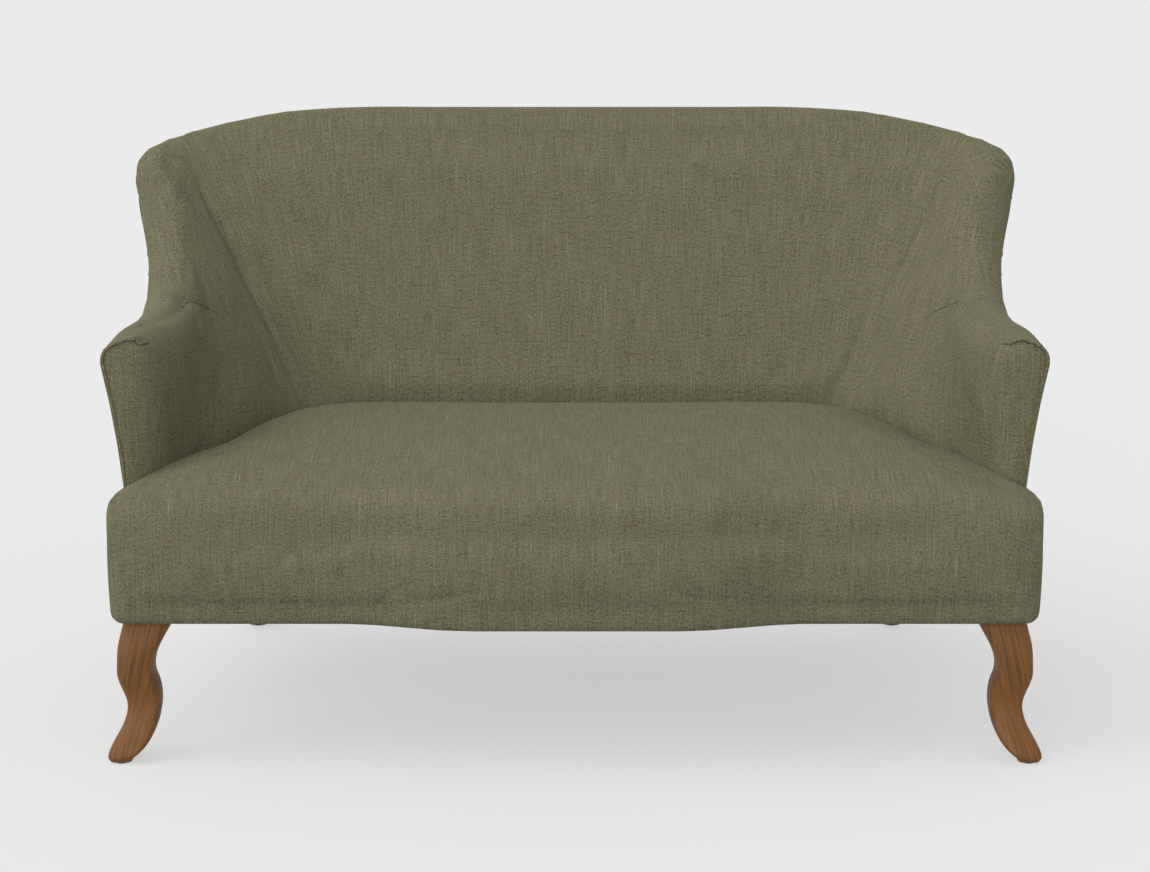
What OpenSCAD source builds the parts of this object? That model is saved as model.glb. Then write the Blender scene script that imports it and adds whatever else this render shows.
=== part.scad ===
// High back settee with a barrel shaped inside, swept wings and cabriole front legs.
// The front of the settee faces -Y, +X is the viewer's right and +Z is up.
// The origin is on the floor under the middle of the settee.
// A depth is measured back from the plane of the front toes, and set_depth turns it into Y.

/* [Overall] */
// Height of the back above the floor
overall_h = 945; // [925:5:965]
// Depth from the bowed front border to the outside back
overall_d = 783; // [764:1:804]
// Width over the two arm fronts
arms_w = 1450; // [1420:10:1500]
// Height of the line where the seat meets the arms and the back
seat_h = 440; // [432:1:448]
// Height of the bottom edge of the upholstery above the floor
border_z = 225; // [220:1:230]

/* [Upholstery] */
// Half the thickness of the rolled top of the back
roll_back = 43; // [40:0.5:46]
// Half the width of the rolled top of an arm at its front
roll_arm = 57; // [54:0.5:60]
// Padding over the frame at the rolled top
roll_pad = 20; // [17:0.5:22]
// Padding in front of the back frame at seat level, as a share of the depth to the crest
back_pad_share = 0.1785; // [0.168:0.0005:0.183]
// Thickness of the lined cloth of the outside panels
panel_t = 5; // [3:0.5:6]
// Padding in front of the arm post
facing_pad = 20; // [16:1:24]
// Length of the rounded arm front ahead of the arm padding
arm_nose = 88; // [84:1:92]
// Share of the arm's thickness over which its front rounds into the inside
arm_round_share = .983; // [.92:.001:1.01]
// Fall of the arm top towards its front crease
arm_fall = 10; // [6:1:14]
// Rounding of the front edge of an arm front
facing_edge = 4; // [2:0.5:5]
// Clearance between neighbouring soft pieces
soft_gap = 0.5; // [0.3:0.1:0.8]

/* [Seat] */
// Reach of the bowed front ahead of the front toes
nose_out = 30; // [25:1:35]
// Set back of the straight ends of the front border behind the front toes
front_set = 7; // [4:1:10]
// Half width of the flat middle of the bow
bow_flat = 155; // [130:5:180]
// Length along the width of each S curve beside the bow
bow_run = 200; // [180:5:220]
// Thickness of the padded front border over the seat rail
border_t = 14; // [12:0.5:16]
// Swell of the padded front border
front_swell = 5; // [3:1:7]
// Rounding of the front corners of the seat, seen from above
corner_r = 26; // [22:1:30]
// Reach of the seat past the arms on each side
ear_out = 16; // [12:1:20]
// Depth of the soft shoulder at the front of the seat
shoulder_d = 72; // [60:2:84]
// Height of the soft shoulder at the front of the seat
shoulder_h = 52; // [44:2:60]
// Rise of the seat crown above a straight line from front to back
crown_h = 36; // [30:1:42]

/* [Frame] */
// Height of the seat rails
rail_h = 93; // [85:1:95]
// Thickness of the front seat rail
front_rail_t = 28; // [25:1:30]
// Thickness of the side seat rails
side_rail_t = 26; // [22:1:28]
// Thickness of the rear seat rail
rear_rail_t = 36; // [32:1:38]
// Height of the seat rails' underside above the bottom edge of the upholstery
rail_lift = 7; // [5:0.5:9]
// Width of a back post
post_w = 40; // [34:1:44]
// Thickness of the boards of the arms and the wings
board_t = 22; // [20:1:24]
// Width of an arm top rail
arm_rail_w = 30; // [26:1:34]
// Height of an arm top rail
arm_rail_h = 38; // [34:1:42]
// Thickness of the back top rail
top_rail_t = 22; // [20:1:24]
// Height of the tack rails of the back and the arms
tack_rail_h = 40; // [35:1:45]
// Diameter of the wood screws and dowels
dowel_d = 8; // [6:1:10]

/* [Suspension] */
// Number of zigzag springs under the seat
spring_count = 7; // [5:1:8]
// Thickness of the spring wire
wire_d = 3.6; // [3.2:0.1:4]
// Width of a zigzag spring
spring_w = 50; // [44:1:56]
// Length of one loop of a zigzag spring
spring_pitch = 56; // [48:1:62]
// Width of a webbing strap
strap_w = 50; // [45:1:60]
// Thickness of the webbing
strap_t = 1.6; // [1.2:0.1:1.8]
// Thickness of the burlap over the springs
burlap_t = 1.2; // [1:0.1:1.5]

/* [Legs] */
// Width of a front leg at its top
leg_top_w = 73; // [68:1:76]
// Reach of a front toe past the side of the seat frame
toe_out = 23; // [18:1:28]
// Width of a rear leg at its top
rear_top_w = 50; // [46:1:54]
// Width of a rear leg at its foot
rear_foot_w = 31; // [28:1:34]
// Thickness of the glides under the feet
glide_t = 2.5; // [2:0.5:4]
// Radius of a glide
glide_r = 10; // [8:0.5:11]
// Diameter of the hanger bolts that hold the legs
bolt_d = 8; // [6:1:10]
// Length of a hanger bolt
bolt_l = 84; // [76:1:90]

/* [Hidden] */
$fn = 48;

half_w = arms_w / 2;
front_reach = nose_out + front_swell * sin(60);
crest_d = overall_d - front_reach - roll_back;
crest_z = overall_h - roll_back;
rail_z = border_z + rail_lift;
rail_top = rail_z + rail_h;
fit_gap = 0.3;

// The upholstery runs round a path of stations from the middle of the back (station 0)
// over the wing to the front of the arm (station 14). Station 15 is the crease of the
// arm front. Shares of x follow half_w, shares of depth follow crest_d, shares of height
// follow the rise from the seat line to the crest of the back.
arm_station = 14;
seam_station = 9;
corner_station = 6;
inner_x_shares = [0, .166, .331, .476, .559, .615, .651, .676, .697, .719, .745, .772,
  .806, .836, .866, .897];
inner_depth_shares = [.717, .717, .717, .717, .7125, .697, .666, .626, .588, .5425, .493,
  .442, .391, .34, .283, .227];
crest_x_shares = [0, .166, .338, .51, .68, .83, .94, .986, .968, .939, .920, .909, .905,
  .91, .921, .921];
crest_depth_shares = [1, 1, 1, .999, .992, .972, .928, .87, .815, .76, .695, .606, .496,
  .39, .283, .163];
crest_rise_shares = [1, 1, 1, 1, .985, .944, .9025, .852, .763, .65, .54, .445, .388,
  .368, .364, .364];
roll_shares = [0, 0, 0, 0, 0, .07, .14, .21, .29, .36, .43, .5, .57, .71, 1, 1];
pad_shares = [1, 1, 1, .98, .89, .73, .56, .41, .33, .29, .25, .23, .2, .16, .11, .11];
outer_x_shares = [0, .166, .338, .51, .676, .814, .89, .921, .926, .931, .937, .942, .946,
  .95, .953, .953];
outer_depth_shares = [.946, .946, .946, .946, .946, .945, .919, .85, .793, .7365, .673,
  .595, .496, .39, .283, .163];
outer_bow_shares = [1, 1, 1, 1, 1.1, 1.2, 1.4, 1.5, 1.6, 1.7, 1.8, 2, 2.2, 2.4, 2.4, 2.4];
lean_shares = [1, 1, 1, 1, .9, .8, .65, .5, .4, .35, .3, .3, .3, .3, .3, .3];
// Angle at which the inside meets the roll, in degrees
roll_angles = [19, 19, 19, 20, 23, 30, 38, 42, 42, 40, 36, 30, 20, 12, 8, 8];
// Pull of the seat line and of the roll on the curve between them
rise_share = .36;
turn_shares = [.36, .36, .36, .34, .28, .2, .14, .11, .12, .16, .22, .3, .36, .36, .36, .36];
// How far the section of the roll turns from square across the crest to the way up the wall
span_shares = [0, 0, 0, 0, .15, .35, .5, .6, .5, .3, .12, 0, 0, 0, 0, 0];
wall_steps = 9;
roll_steps = 7;
panel_steps = 6;
normal_reach_share = .7;

// A table's value between two stations, on a smooth curve through its values
function share_at(table, s) =
  let (last = len(table) - 1, i = min(max(floor(s), 0), last - 1), t = s - i)
  let (b = table[i], c = table[i + 1])
  let (a = i > 0 ? table[i - 1] : 2 * b - c, d = i + 2 <= last ? table[i + 2] : 2 * c - b)
  b + t * ((c - a) + t * ((2 * a - 5 * b + 4 * c - d) + t * (3 * b - a - 3 * c + d))) / 2;
function set_depth(f) = f - overall_d / 2 + front_reach;
function mix(a, b, t) = a + (b - a) * t;
function unit(v) = v / norm(v);
function bezier(a, b, c, d, t) =
  let (u = 1 - t)
  u * u * u * a + 3 * u * u * t * b + 3 * u * t * t * c + t * t * t * d;
function reversed(list) = [for (i = [len(list) - 1:-1:0]) list[i]];
function flipped(points) = [for (p = points) [-p.x, p.y, p.z]];

function inner_point(s) =
  [share_at(inner_x_shares, s) * half_w, share_at(inner_depth_shares, s) * crest_d, seat_h];
function crest_point(s) =
  [share_at(crest_x_shares, s) * half_w, share_at(crest_depth_shares, s) * crest_d,
   mix(seat_h, crest_z, share_at(crest_rise_shares, s))];
function outer_foot(s) =
  [share_at(outer_x_shares, s) * half_w, share_at(outer_depth_shares, s) * crest_d, border_z];
function plan_normal(a, b) =
  let (v = b - a)
  unit([-v.y, v.x, 0]);
function side_normal(a, b, s) =
  s <= 0 ? [0, 1, 0] : s >= arm_station ? [1, 0, 0] : plan_normal(a, b);
function crest_normal(s) =
  let (before = crest_point(max(s - normal_reach_share, 0)))
  let (across = side_normal(before, crest_point(s + normal_reach_share), s))
  let (span = dropped(crest_point(s) - inner_point(s), 0))
  unit(mix(across, unit(span), share_at(span_shares, s)));
function inner_normal(s) =
  side_normal(inner_point(max(s - normal_reach_share, 0)), inner_point(s + normal_reach_share), s);
// The direction in which the roll bulges: up, and forward where the crest comes down
function crest_up(s) =
  s <= 0 || s >= arm_station ? [0, 0, 1]
    : let (t = unit(crest_point(s + normal_reach_share) - crest_point(max(s - normal_reach_share, 0))))
      unit([0, 0, 1] - t.z * t);
function roll_w(s) = mix(roll_back, roll_arm, share_at(roll_shares, s));
function to_frame(points) = [for (p = points) [p.x, set_depth(p.y), p.z]];

// A point on the rolled top at an angle from the inside, 90 at the crest, 180 outside
function roll_point(s, inset, angle) =
  crest_point(s) - (roll_w(s) - inset) * cos(angle) * crest_normal(s)
  + (roll_back - inset) * sin(angle) * crest_up(s);
// The inside from the seat line up to the roll
function wall_curve(s, inset, base) =
  let (angle = share_at(roll_angles, s))
  let (top = roll_point(s, inset, angle), span = top - base, w = share_at(lean_shares, s))
  let (reach = norm(span) * rise_share, pull = norm(span) * share_at(turn_shares, s))
  let (rise = unit([w * span.x, w * span.y, span.z]))
  let (turn = unit((roll_w(s) - inset) * sin(angle) * crest_normal(s)
    + (roll_back - inset) * cos(angle) * crest_up(s)))
  [for (i = [0:wall_steps]) bezier(base, base + rise * reach, top - turn * pull, top,
    i / wall_steps)];
function roll_curve(s, inset) =
  let (angle = share_at(roll_angles, s))
  [for (i = [1:roll_steps]) roll_point(s, inset, mix(angle, 180, i / roll_steps))];
function dropped(p, z) = [p.x, p.y, z];

// The padding reaches down behind the seat to this height above the rails
deck_room = 15;
pad_foot = rail_top + deck_room;
function pad_face(s) =
  let (base = inner_point(s))
  concat([dropped(base, pad_foot)], wall_curve(s, 0, base), roll_curve(s, 0));
function core_base(s) =
  inner_point(s) + inner_normal(s) * crest_d * back_pad_share * share_at(pad_shares, s);
function pad_core(s) =
  let (base = core_base(s))
  concat([dropped(base, pad_foot)], wall_curve(s, roll_pad, base), roll_curve(s, roll_pad));
function pad_loop(s) = concat(pad_face(s), reversed(pad_core(s)));

// The outside cloth starts this far below the widest line of the roll
rim_drop = .8;
// A point of the outside at a height, inset from the cloth
function outer_point(s, z, inset) =
  let (c = crest_point(s), n = crest_normal(s), b = outer_foot(s))
  let (h = max((z - b.z) / (c.z - b.z), 0), o = c + n * roll_w(s))
  let (p = mix(b, o, pow(h, share_at(outer_bow_shares, s))) - n * inset)
  [p.x, p.y, z];
function panel_face(s, inset) =
  let (top = crest_point(s).z - rim_drop - soft_gap)
  [for (i = [0:panel_steps]) outer_point(s, mix(top, border_z, i / panel_steps), inset)];
function panel_loop(s) = concat(panel_face(s, panel_t), reversed(panel_face(s, 0)));

// A solid through closed loops of equally many points, whose ends are zipped shut
module skin(loops, inside_out = false) {
  m = len(loops[0]);
  n = len(loops);
  points = [for (loop = loops) each to_frame(loop)];
  sides = [for (i = [0:n - 2], j = [0:m - 1])
    let (a = i * m + j, b = i * m + (j + 1) % m, c = b + m, d = a + m)
    each [[a, b, c], [a, c, d]]];
  zip = [for (j = [0:floor(m / 2) - 2]) each [[j, m - 1 - j, m - 2 - j], [j, m - 2 - j, j + 1]]];
  far = [for (f = zip) [for (k = reversed(f)) k + (n - 1) * m]];
  faces = concat(sides, zip, far);
  polyhedron(points, inside_out ? [for (f = faces) reversed(f)] : faces, convexity = 10);
}

module left_side() {
  mirror([1, 0, 0]) children();
}

// Upright plank with its outline in X and Z, its front face at a depth
module plank_xz(depth, thick, outline) {
  translate([0, set_depth(depth) + thick, 0])
    rotate([90, 0, 0])
      linear_extrude(thick)
        polygon(outline);
}

// Flat plank with its outline in X and depth
module plank_plan(z, thick, outline) {
  translate([0, set_depth(0), z])
    linear_extrude(thick)
      polygon(outline);
}

// The front border seen from above: flat in the middle, an S curve, then straight ends
border_in = share_at(outer_x_shares, arm_station) * half_w;
seat_half = border_in + ear_out;
function bow_share(x) =
  abs(x) < bow_flat ? 1 : abs(x) < bow_flat + bow_run
    ? (1 + cos(180 * (abs(x) - bow_flat) / bow_run)) / 2 : 0;
function corner_share(x) =
  let (t = min(max((abs(x) - seat_half + corner_r) / corner_r, 0), 1))
  1 - sqrt(1 - t * t);
function bow_line(x) = front_set - (nose_out + front_set) * bow_share(x);
function front_line(x) = bow_line(x) + corner_r * corner_share(x);

// The inside of an arm front, seen from above, as it rounds forward from station 14
nose_start = inner_point(arm_station);
nose_bias_share = .45;
function nose_share(q) = nose_bias_share * q + (1 - nose_bias_share) * (1 - sqrt(1 - q * q));
function nose_point(q) =
  [nose_start.x + arm_round_w * nose_share(q), nose_start.y - arm_nose * q];
// Thickness of the arm at the seat line, which the rounding and the arm post follow
arm_w = border_in - nose_start.x;
arm_round_w = arm_round_share * arm_w - roll_pad / 2;

// Heights of the seat stack over the rails
clip_t = 1.2;
wire_z = rail_top + clip_t;
burlap_z = wire_z + wire_d;
deck_z = burlap_z + burlap_t;

// Rises of the seat surface over the seat line, as shares of crown_h, by shares of seat_half
back_rise_shares = [[0, .44], [.68, .44], [.766, .28], [.826, .03], [.89, -.03],
  [.936, -.22], [.961, -.4], [.98, -.6], [1, -.66]];
front_rise_shares = [[0, .2], [.6, .2], [.8, .06], [.9, -.17], [.961, -.4], [.98, -.6],
  [1, -.66]];
crown_shares = [[0, 1], [.5, .95], [.65, .8], [.75, .6], [.85, .35], [.92, .15], [1, 0]];
flat_x_shares = [0, .23, .45, .595, .74, .885];
// Angles of the rings of an arm front, and how far forward each ring lies
fall_angles = [0, 25, 50, 70, 90];
edge_nose_share = 1 - facing_edge / arm_nose;
nose_shares = [for (a = fall_angles) sin(a) * edge_nose_share];
ear_shares = [.2, .45, .75, .96];
shoulder_share = .6;
ear_fall_share = .7;
edge_r = 6;
shoulder_steps = 4;
crown_steps = 8;

// Half of the seat plan as [x, rear depth, whether the border is solid there]
seat_plan_half = concat(
  [for (k = flat_x_shares) [k * inner_point(3).x, inner_point(3).y, false]],
  [for (s = [3:arm_station - 1]) [inner_point(s).x, inner_point(s).y, false]],
  [for (q = nose_shares) [nose_point(q).x - soft_gap, nose_point(q).y, false]],
  [[nose_point(edge_nose_share).x + facing_edge / 2, nose_point(1).y, false],
   [border_in - panel_t, nose_point(1).y, false]],
  [for (k = ear_shares)
    [mix(border_in - panel_t / 2, seat_half, k), nose_point(1).y, true]]);
seat_plan = concat([for (p = reversed(seat_plan_half)) [-p[0], p[1], p[2]]],
  [for (i = [1:len(seat_plan_half) - 1]) seat_plan_half[i]]);

function seat_loop(x, rear, solid) =
  let (k = abs(x) / seat_half, front = front_line(x), back = rear - soft_gap)
  let (drop = corner_r * corner_share(x), low = border_z + drop / 2)
  let (fall = drop * ear_fall_share)
  let (z_back = seat_h + crown_h * lookup(k, back_rise_shares) - fall)
  let (z_front = seat_h + crown_h * lookup(k, front_rise_shares) - fall)
  let (reach = min(shoulder_d, (back - front) * shoulder_share))
  let (crown = crown_h * lookup(k, crown_shares), lip = solid ? back : front + border_t)
  let (heel = solid ? edge_r : 0)
  concat(
    [[x, lip - heel, low], [x, front + edge_r, low], [x, front, low + edge_r]],
    [for (i = [1:3]) let (t = i / 3)
      [x, front - front_swell * sin(180 * t), mix(low + edge_r, z_front - shoulder_h, t)]],
    [for (i = [1:shoulder_steps]) let (a = 90 * i / shoulder_steps)
      [x, front + reach * (1 - cos(a)), z_front - shoulder_h * (1 - sin(a))]],
    [for (i = [1:crown_steps]) let (u = i / (crown_steps + .5))
      [x, mix(front + reach, back, u), mix(z_front, z_back, u) + 4 * crown * u * (1 - u)]],
    [[x, back - edge_r / 2, z_back], [x, back, z_back - edge_r / 2]],
    [[x, back, deck_z], [x, lip, solid ? low + heel : deck_z]]);

module seat_pad() {
  color("#6b6b52")
    skin([for (p = seat_plan) seat_loop(p[0], p[1], p[2])]);
}

back_stations = [0, 1, 2, 3, 4, 5, 5.5, 6, 6.5, 7, 7.5, 8, 9];
module inside_back() {
  half = [for (s = back_stations) pad_loop(s)];
  left = [for (i = [len(half) - 1:-1:1]) flipped(half[i])];
  color("#6b6b52")
    skin(concat(left, half));
}

seam_gap_share = .02;
module inside_arm() {
  color("#6b6b52")
    skin([for (s = [seam_station:arm_station]) pad_loop(max(s, seam_station + seam_gap_share))]);
}
module inside_arm_left() { left_side() inside_arm(); }
module inside_arm_right() { inside_arm(); }

// The arm front wraps round the post like a hood, open behind and below
front_wall = 6;
hollow_angle = 50;
hollow_steps = 4;
outer_steps = 6;
function outer_side(inset) =
  [for (i = [0:outer_steps - 1]) outer_point(arm_station,
    mix(crest_point(arm_station).z - rim_drop, pad_foot, i / (outer_steps - 1)), inset)];
function arm_outline() = concat(pad_face(arm_station), outer_side(panel_t + soft_gap));
function hollow_outline() =
  concat(pad_core(arm_station), outer_side(panel_t + soft_gap + front_wall));
// How far each outline point follows the rounding of the inside and the fall of the top
function round_shares() =
  let (angle = share_at(roll_angles, arm_station))
  concat([for (i = [0:wall_steps + 1]) 1],
    [for (i = [1:roll_steps]) max(cos(mix(angle, 180, i / roll_steps)), 0)],
    [for (i = [1:outer_steps]) 0]);
function fall_shares() =
  let (angle = share_at(roll_angles, arm_station))
  concat([for (i = [0:wall_steps + 1]) 0],
    [for (i = [1:roll_steps]) sin(mix(angle, 180, i / roll_steps))],
    [for (i = [1:outer_steps]) 0]);
function arm_ring(outline, q) =
  let (r = round_shares(), f = fall_shares())
  [for (i = [0:len(outline) - 1]) [outline[i].x + r[i] * arm_round_w * nose_share(q),
    nose_start.y - soft_gap - (arm_nose - soft_gap) * q, outline[i].z - f[i] * arm_fall * q]];
// The outline is drawn in towards its other side, which rounds the edge of the face
edge_limit_share = .3;
function drawn_in(ring, inset, step) =
  let (last = len(ring) - 1)
  [for (i = [0:last])
    let (v = ring[last - i] - ring[i], n = norm(v))
    ring[i] + v / n * min(inset, n * edge_limit_share) - [0, step, 0]];

module arm_front() {
  outline = arm_outline();
  rings = [for (q = nose_shares) arm_ring(outline, q)];
  shell = concat(rings, [drawn_in(rings[len(rings) - 1], facing_edge, facing_edge)]);
  hollow = [for (i = [0:hollow_steps])
    arm_ring(hollow_outline(), (1 - facing_pad / arm_nose) * sin(hollow_angle * i / hollow_steps)
      / sin(hollow_angle))];
  m = len(outline);
  a = len(shell);
  b = len(hollow);
  o = a * m;
  points = to_frame(concat([for (ring = shell) each ring], [for (ring = hollow) each ring]));
  skins = concat(
    [for (k = [0:a - 2], j = [0:m - 2]) let (p = k * m + j)
      each [[p, p + 1, p + m + 1], [p, p + m + 1, p + m]]],
    [for (k = [0:b - 2], j = [0:m - 2]) let (p = o + k * m + j)
      each [[p, p + m + 1, p + 1], [p, p + m, p + m + 1]]]);
  caps = concat(
    [for (j = [0:m / 2 - 2]) let (p = (a - 1) * m, e = m - 1 - j)
      each [[p + j, p + j + 1, p + e - 1], [p + j, p + e - 1, p + e]]],
    [for (j = [0:m / 2 - 2]) let (p = o + (b - 1) * m, e = m - 1 - j)
      each [[p + j, p + e - 1, p + j + 1], [p + j, p + e, p + e - 1]]]);
  rims = [for (j = [0:m - 2]) each [[j, o + j + 1, j + 1], [j, o + j, o + j + 1]]];
  foot_line = concat([for (k = [0:a - 1]) k * m], [for (k = [a - 1:-1:0]) k * m + m - 1]);
  foot_hole = concat([for (k = [0:b - 1]) o + k * m],
    [for (k = [b - 1:-1:0]) o + k * m + m - 1]);
  feet = foot_faces(foot_line, foot_hole, a, b);
  color("#6b6b52")
    polyhedron(points, concat(skins, caps, rims, feet), convexity = 10);
}
// The rim under the hood, between its outer line and its hollow, as triangles
function foot_faces(line, hole, a, b) = concat(
  [for (k = [0:b - 2]) each [[line[k], line[k + 1], hole[k + 1]], [line[k], hole[k + 1], hole[k]]]],
  [for (k = [b - 1:a - 2]) [line[k], line[k + 1], hole[b - 1]]],
  [[line[a - 1], line[a], hole[b - 1]], [line[a], hole[b], hole[b - 1]]],
  [for (k = [a:2 * a - b - 1]) [line[k], line[k + 1], hole[b]]],
  [for (k = [0:b - 2]) let (p = 2 * a - b + k, h = b + k)
    each [[line[p], line[p + 1], hole[h + 1]], [line[p], hole[h + 1], hole[h]]]]);
module arm_front_left() { left_side() arm_front(); }
module arm_front_right() { arm_front(); }

module outside_back() {
  half = [for (s = [0:corner_station]) panel_loop(s)];
  left = [for (i = [corner_station:-1:1]) flipped(half[i])];
  color("#62624b")
    skin(concat(left, half), inside_out = true);
}

module outside_arm() {
  color("#62624b")
    skin([for (s = [corner_station:arm_station + 1])
      panel_loop(max(s, corner_station + seam_gap_share))], inside_out = true);
}
module outside_arm_left() { left_side() outside_arm(); }
module outside_arm_right() { outside_arm(); }

// Depths of the seat frame
front_rail_back = border_t + fit_gap + front_rail_t;
flat_depth = front_set + front_rail_back;
rear_rail_depth = share_at(outer_depth_shares, 0) * crest_d - panel_t - rail_lift / 2
  - rear_rail_t;
rail_in = border_in - panel_t - fit_gap * 2;
// The side rails run in towards the back by this share of their length
side_taper_share = .0446;
function side_x(depth) = rail_in - (depth - flat_depth) * side_taper_share;
chamfer = rear_rail_t;
corner_cut_share = 1.6;

module front_seat_rail() {
  xs = concat([-rail_in], [for (p = seat_plan) if (abs(p[0]) < rail_in) p[0]], [rail_in]);
  front = [for (x = xs) [x, front_line(x) + border_t + fit_gap]];
  back = [for (x = reversed(xs)) [x, bow_line(x) + front_rail_back]];
  color("#c9a878")
    plank_plan(rail_z, rail_h, concat(front, back));
}

module rear_seat_rail() {
  wide = side_x(rear_rail_depth) - chamfer / 3;
  color("#c9a878")
    difference() {
      plank_plan(rail_z, rail_h, [[-wide, rear_rail_depth], [wide, rear_rail_depth],
        [wide, rear_rail_depth + chamfer / 4],
        [wide - chamfer * corner_cut_share, rear_rail_depth + rear_rail_t],
        [chamfer * corner_cut_share - wide, rear_rail_depth + rear_rail_t],
        [-wide, rear_rail_depth + chamfer / 4]]);
      for (x = [-post_x, post_x])
        dowel_hole(x, post_dowel_depth, rail_top);
    }
}

module side_seat_rail() {
  end = rear_rail_depth;
  color("#c9a878")
    difference() {
      plank_plan(rail_z, rail_h, [[rail_in, flat_depth], [side_x(end - chamfer), end - chamfer],
        [side_x(end) - chamfer / 3, end], [side_x(end) - side_rail_t, end],
        [rail_in - side_rail_t, flat_depth]]);
      dowel_hole(arm_post_x, arm_post_depth + arm_post_d / 2, rail_top);
    }
}
module side_seat_rail_left() { left_side() side_seat_rail(); }
module side_seat_rail_right() { side_seat_rail(); }

brace_w = 30;
brace_h_share = .6;
brace_h = rail_h * brace_h_share;
brace_drop_share = 3;
brace_drop = wire_d * brace_drop_share;
brace_steps = 12;
module seat_centre_brace() {
  start = bow_line(0) + front_rail_back;
  end = rear_rail_depth;
  top = rail_top - brace_drop;
  arch = [for (i = [0:brace_steps]) let (t = i / brace_steps)
    [mix(end, start, t), top - brace_h + brace_h / 3 * sin(180 * t)]];
  color("#c9a878")
    plank_side(0, brace_w, concat([[start, top], [end, top]], arch));
}

// Upright plank with its outline in depth and height, centred on x
module plank_side(x, thick, outline) {
  translate([x - thick / 2, set_depth(0), 0])
    rotate([90, 0, 90])
      linear_extrude(thick)
        polygon(outline);
}

// Corner blocks carry the hanger bolts of the legs
block_leg = 80;
block_h = 45;
plate_t = 3;
plate_w = 58;
bolt_clear = .3;
bolt_room_share = 1.9;
bolt_room = bolt_d * bolt_room_share;
rear_bolt_shares = [.35, .32];
front_bolt = [side_x(flat_depth) - side_rail_t - bolt_room, flat_depth + bolt_room];
rear_bolt = [side_x(rear_rail_depth) - side_rail_t - block_leg * rear_bolt_shares.x,
  rear_rail_depth - block_leg * rear_bolt_shares.y];
leg_top = rail_z - plate_t;
bolt_depth_share = .42;
bolt_low = leg_top - bolt_l * bolt_depth_share;

function block_plan(depth, way) =
  [[side_x(depth) - side_rail_t, depth],
   [side_x(depth + way * block_leg) - side_rail_t, depth + way * block_leg],
   [side_x(depth) - side_rail_t - block_leg, depth]];
module corner_blocks() {
  color("#b8935f")
    for (side = [0, 1])
      mirror([side, 0, 0]) {
        drilled_block(block_plan(flat_depth, 1), front_bolt);
        drilled_block(block_plan(rear_rail_depth, -1), rear_bolt);
      }
}
module drilled_block(plan, bolt) {
  difference() {
    plank_plan(rail_z, block_h, plan);
    upright_bore(bolt, rail_z, block_h, bolt_d / 2 + bolt_clear);
  }
}
over = 1;
module upright_bore(at, z, height, r) {
  translate([at.x, set_depth(at.y), z - over])
    cylinder(h = height + 2 * over, r = r);
}

module leg_plates() {
  color("#8d9095")
    for (side = [0, 1], bolt = [front_bolt, rear_bolt])
      mirror([side, 0, 0])
        difference() {
          translate([bolt.x - plate_w / 2, set_depth(bolt.y) - plate_w / 2, leg_top])
            cube([plate_w, plate_w, plate_t]);
          upright_bore(bolt, leg_top, plate_t, bolt_d / 2 + bolt_clear);
        }
}

nut_r_share = .87;
nut_r = bolt_d * nut_r_share;
nut_h_share = .8;
nut_h = bolt_d * nut_h_share;
module leg_bolts() {
  color("#9aa0a6")
    for (side = [0, 1], bolt = [front_bolt, rear_bolt])
      mirror([side, 0, 0])
        translate([bolt.x, set_depth(bolt.y), 0]) {
          translate([0, 0, bolt_low])
            cylinder(h = bolt_l, r = bolt_d / 2);
          translate([0, 0, rail_z + block_h])
            cylinder(h = nut_h, r = nut_r, $fn = 6);
        }
}

// Back frame: its front face leans along the back of the padding
lean_foot = core_base(0);
lean_top = roll_point(0, roll_pad, roll_angles[0]);
function lean_depth(z) =
  lean_foot.y + (z - seat_h) * (lean_top.y - lean_foot.y) / (lean_top.z - seat_h)
  + strap_t + 2 * fit_gap;
post_station = 4;
post_out_share = .769;
post_x = share_at(crest_x_shares, post_station) * half_w + post_w * post_out_share;
post_in = post_x - post_w / 2;
post_top = crest_z - roll_back;
// The posts stand flush with the back of the rear rail
post_d = rear_rail_depth + rear_rail_t - lean_depth(rail_top);
post_dowel_depth = lean_depth(rail_top) + post_d / 2;
function lean_outline(low, high, deep) =
  [[lean_depth(low), low], [lean_depth(low) + deep, low],
   [lean_depth(high) + deep, high], [lean_depth(high), high]];
module back_post() {
  color("#c9a878")
    difference() {
      plank_side(post_x, post_w, lean_outline(rail_top, post_top, post_d));
      dowel_hole(post_x, post_dowel_depth, rail_top);
    }
}
module back_post_left() { left_side() back_post(); }
module back_post_right() { back_post(); }

tack_low = seat_h + tack_rail_h / 3;
tack_high = tack_low + tack_rail_h;
top_rail_low = post_top - board_t;
top_rail_depth = crest_d - top_rail_t / 2;
top_rail_rise_share = .6;
top_rail_rise = (roll_back - roll_pad) * top_rail_rise_share;
upright_w_share = .9;
arch_steps = 8;
module back_tack_rail() {
  color("#c9a878")
    plank_side(0, post_in * 2, lean_outline(tack_low, tack_high, board_t));
}
module back_centre_upright() {
  color("#c9a878")
    plank_side(0, post_w * upright_w_share, lean_outline(tack_high, top_rail_low, post_d));
}
// The top rail is arched like the back
module back_top_rail() {
  rise = [for (i = [0:arch_steps]) let (s = post_station * i / arch_steps, c = crest_point(s))
    [min(c.x, post_in), c.z + top_rail_rise]];
  arch = concat([for (p = reversed(rise)) if (p.x < post_in) p],
    [for (p = rise) if (p.x > 0 && p.x < post_in) [-p.x, p.y]]);
  end = crest_point(post_station).z + top_rail_rise;
  color("#c9a878")
    plank_xz(top_rail_depth, top_rail_t, concat([[-post_in, top_rail_low],
      [post_in, top_rail_low], [post_in, end]], arch, [[-post_in, end]]));
}

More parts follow.
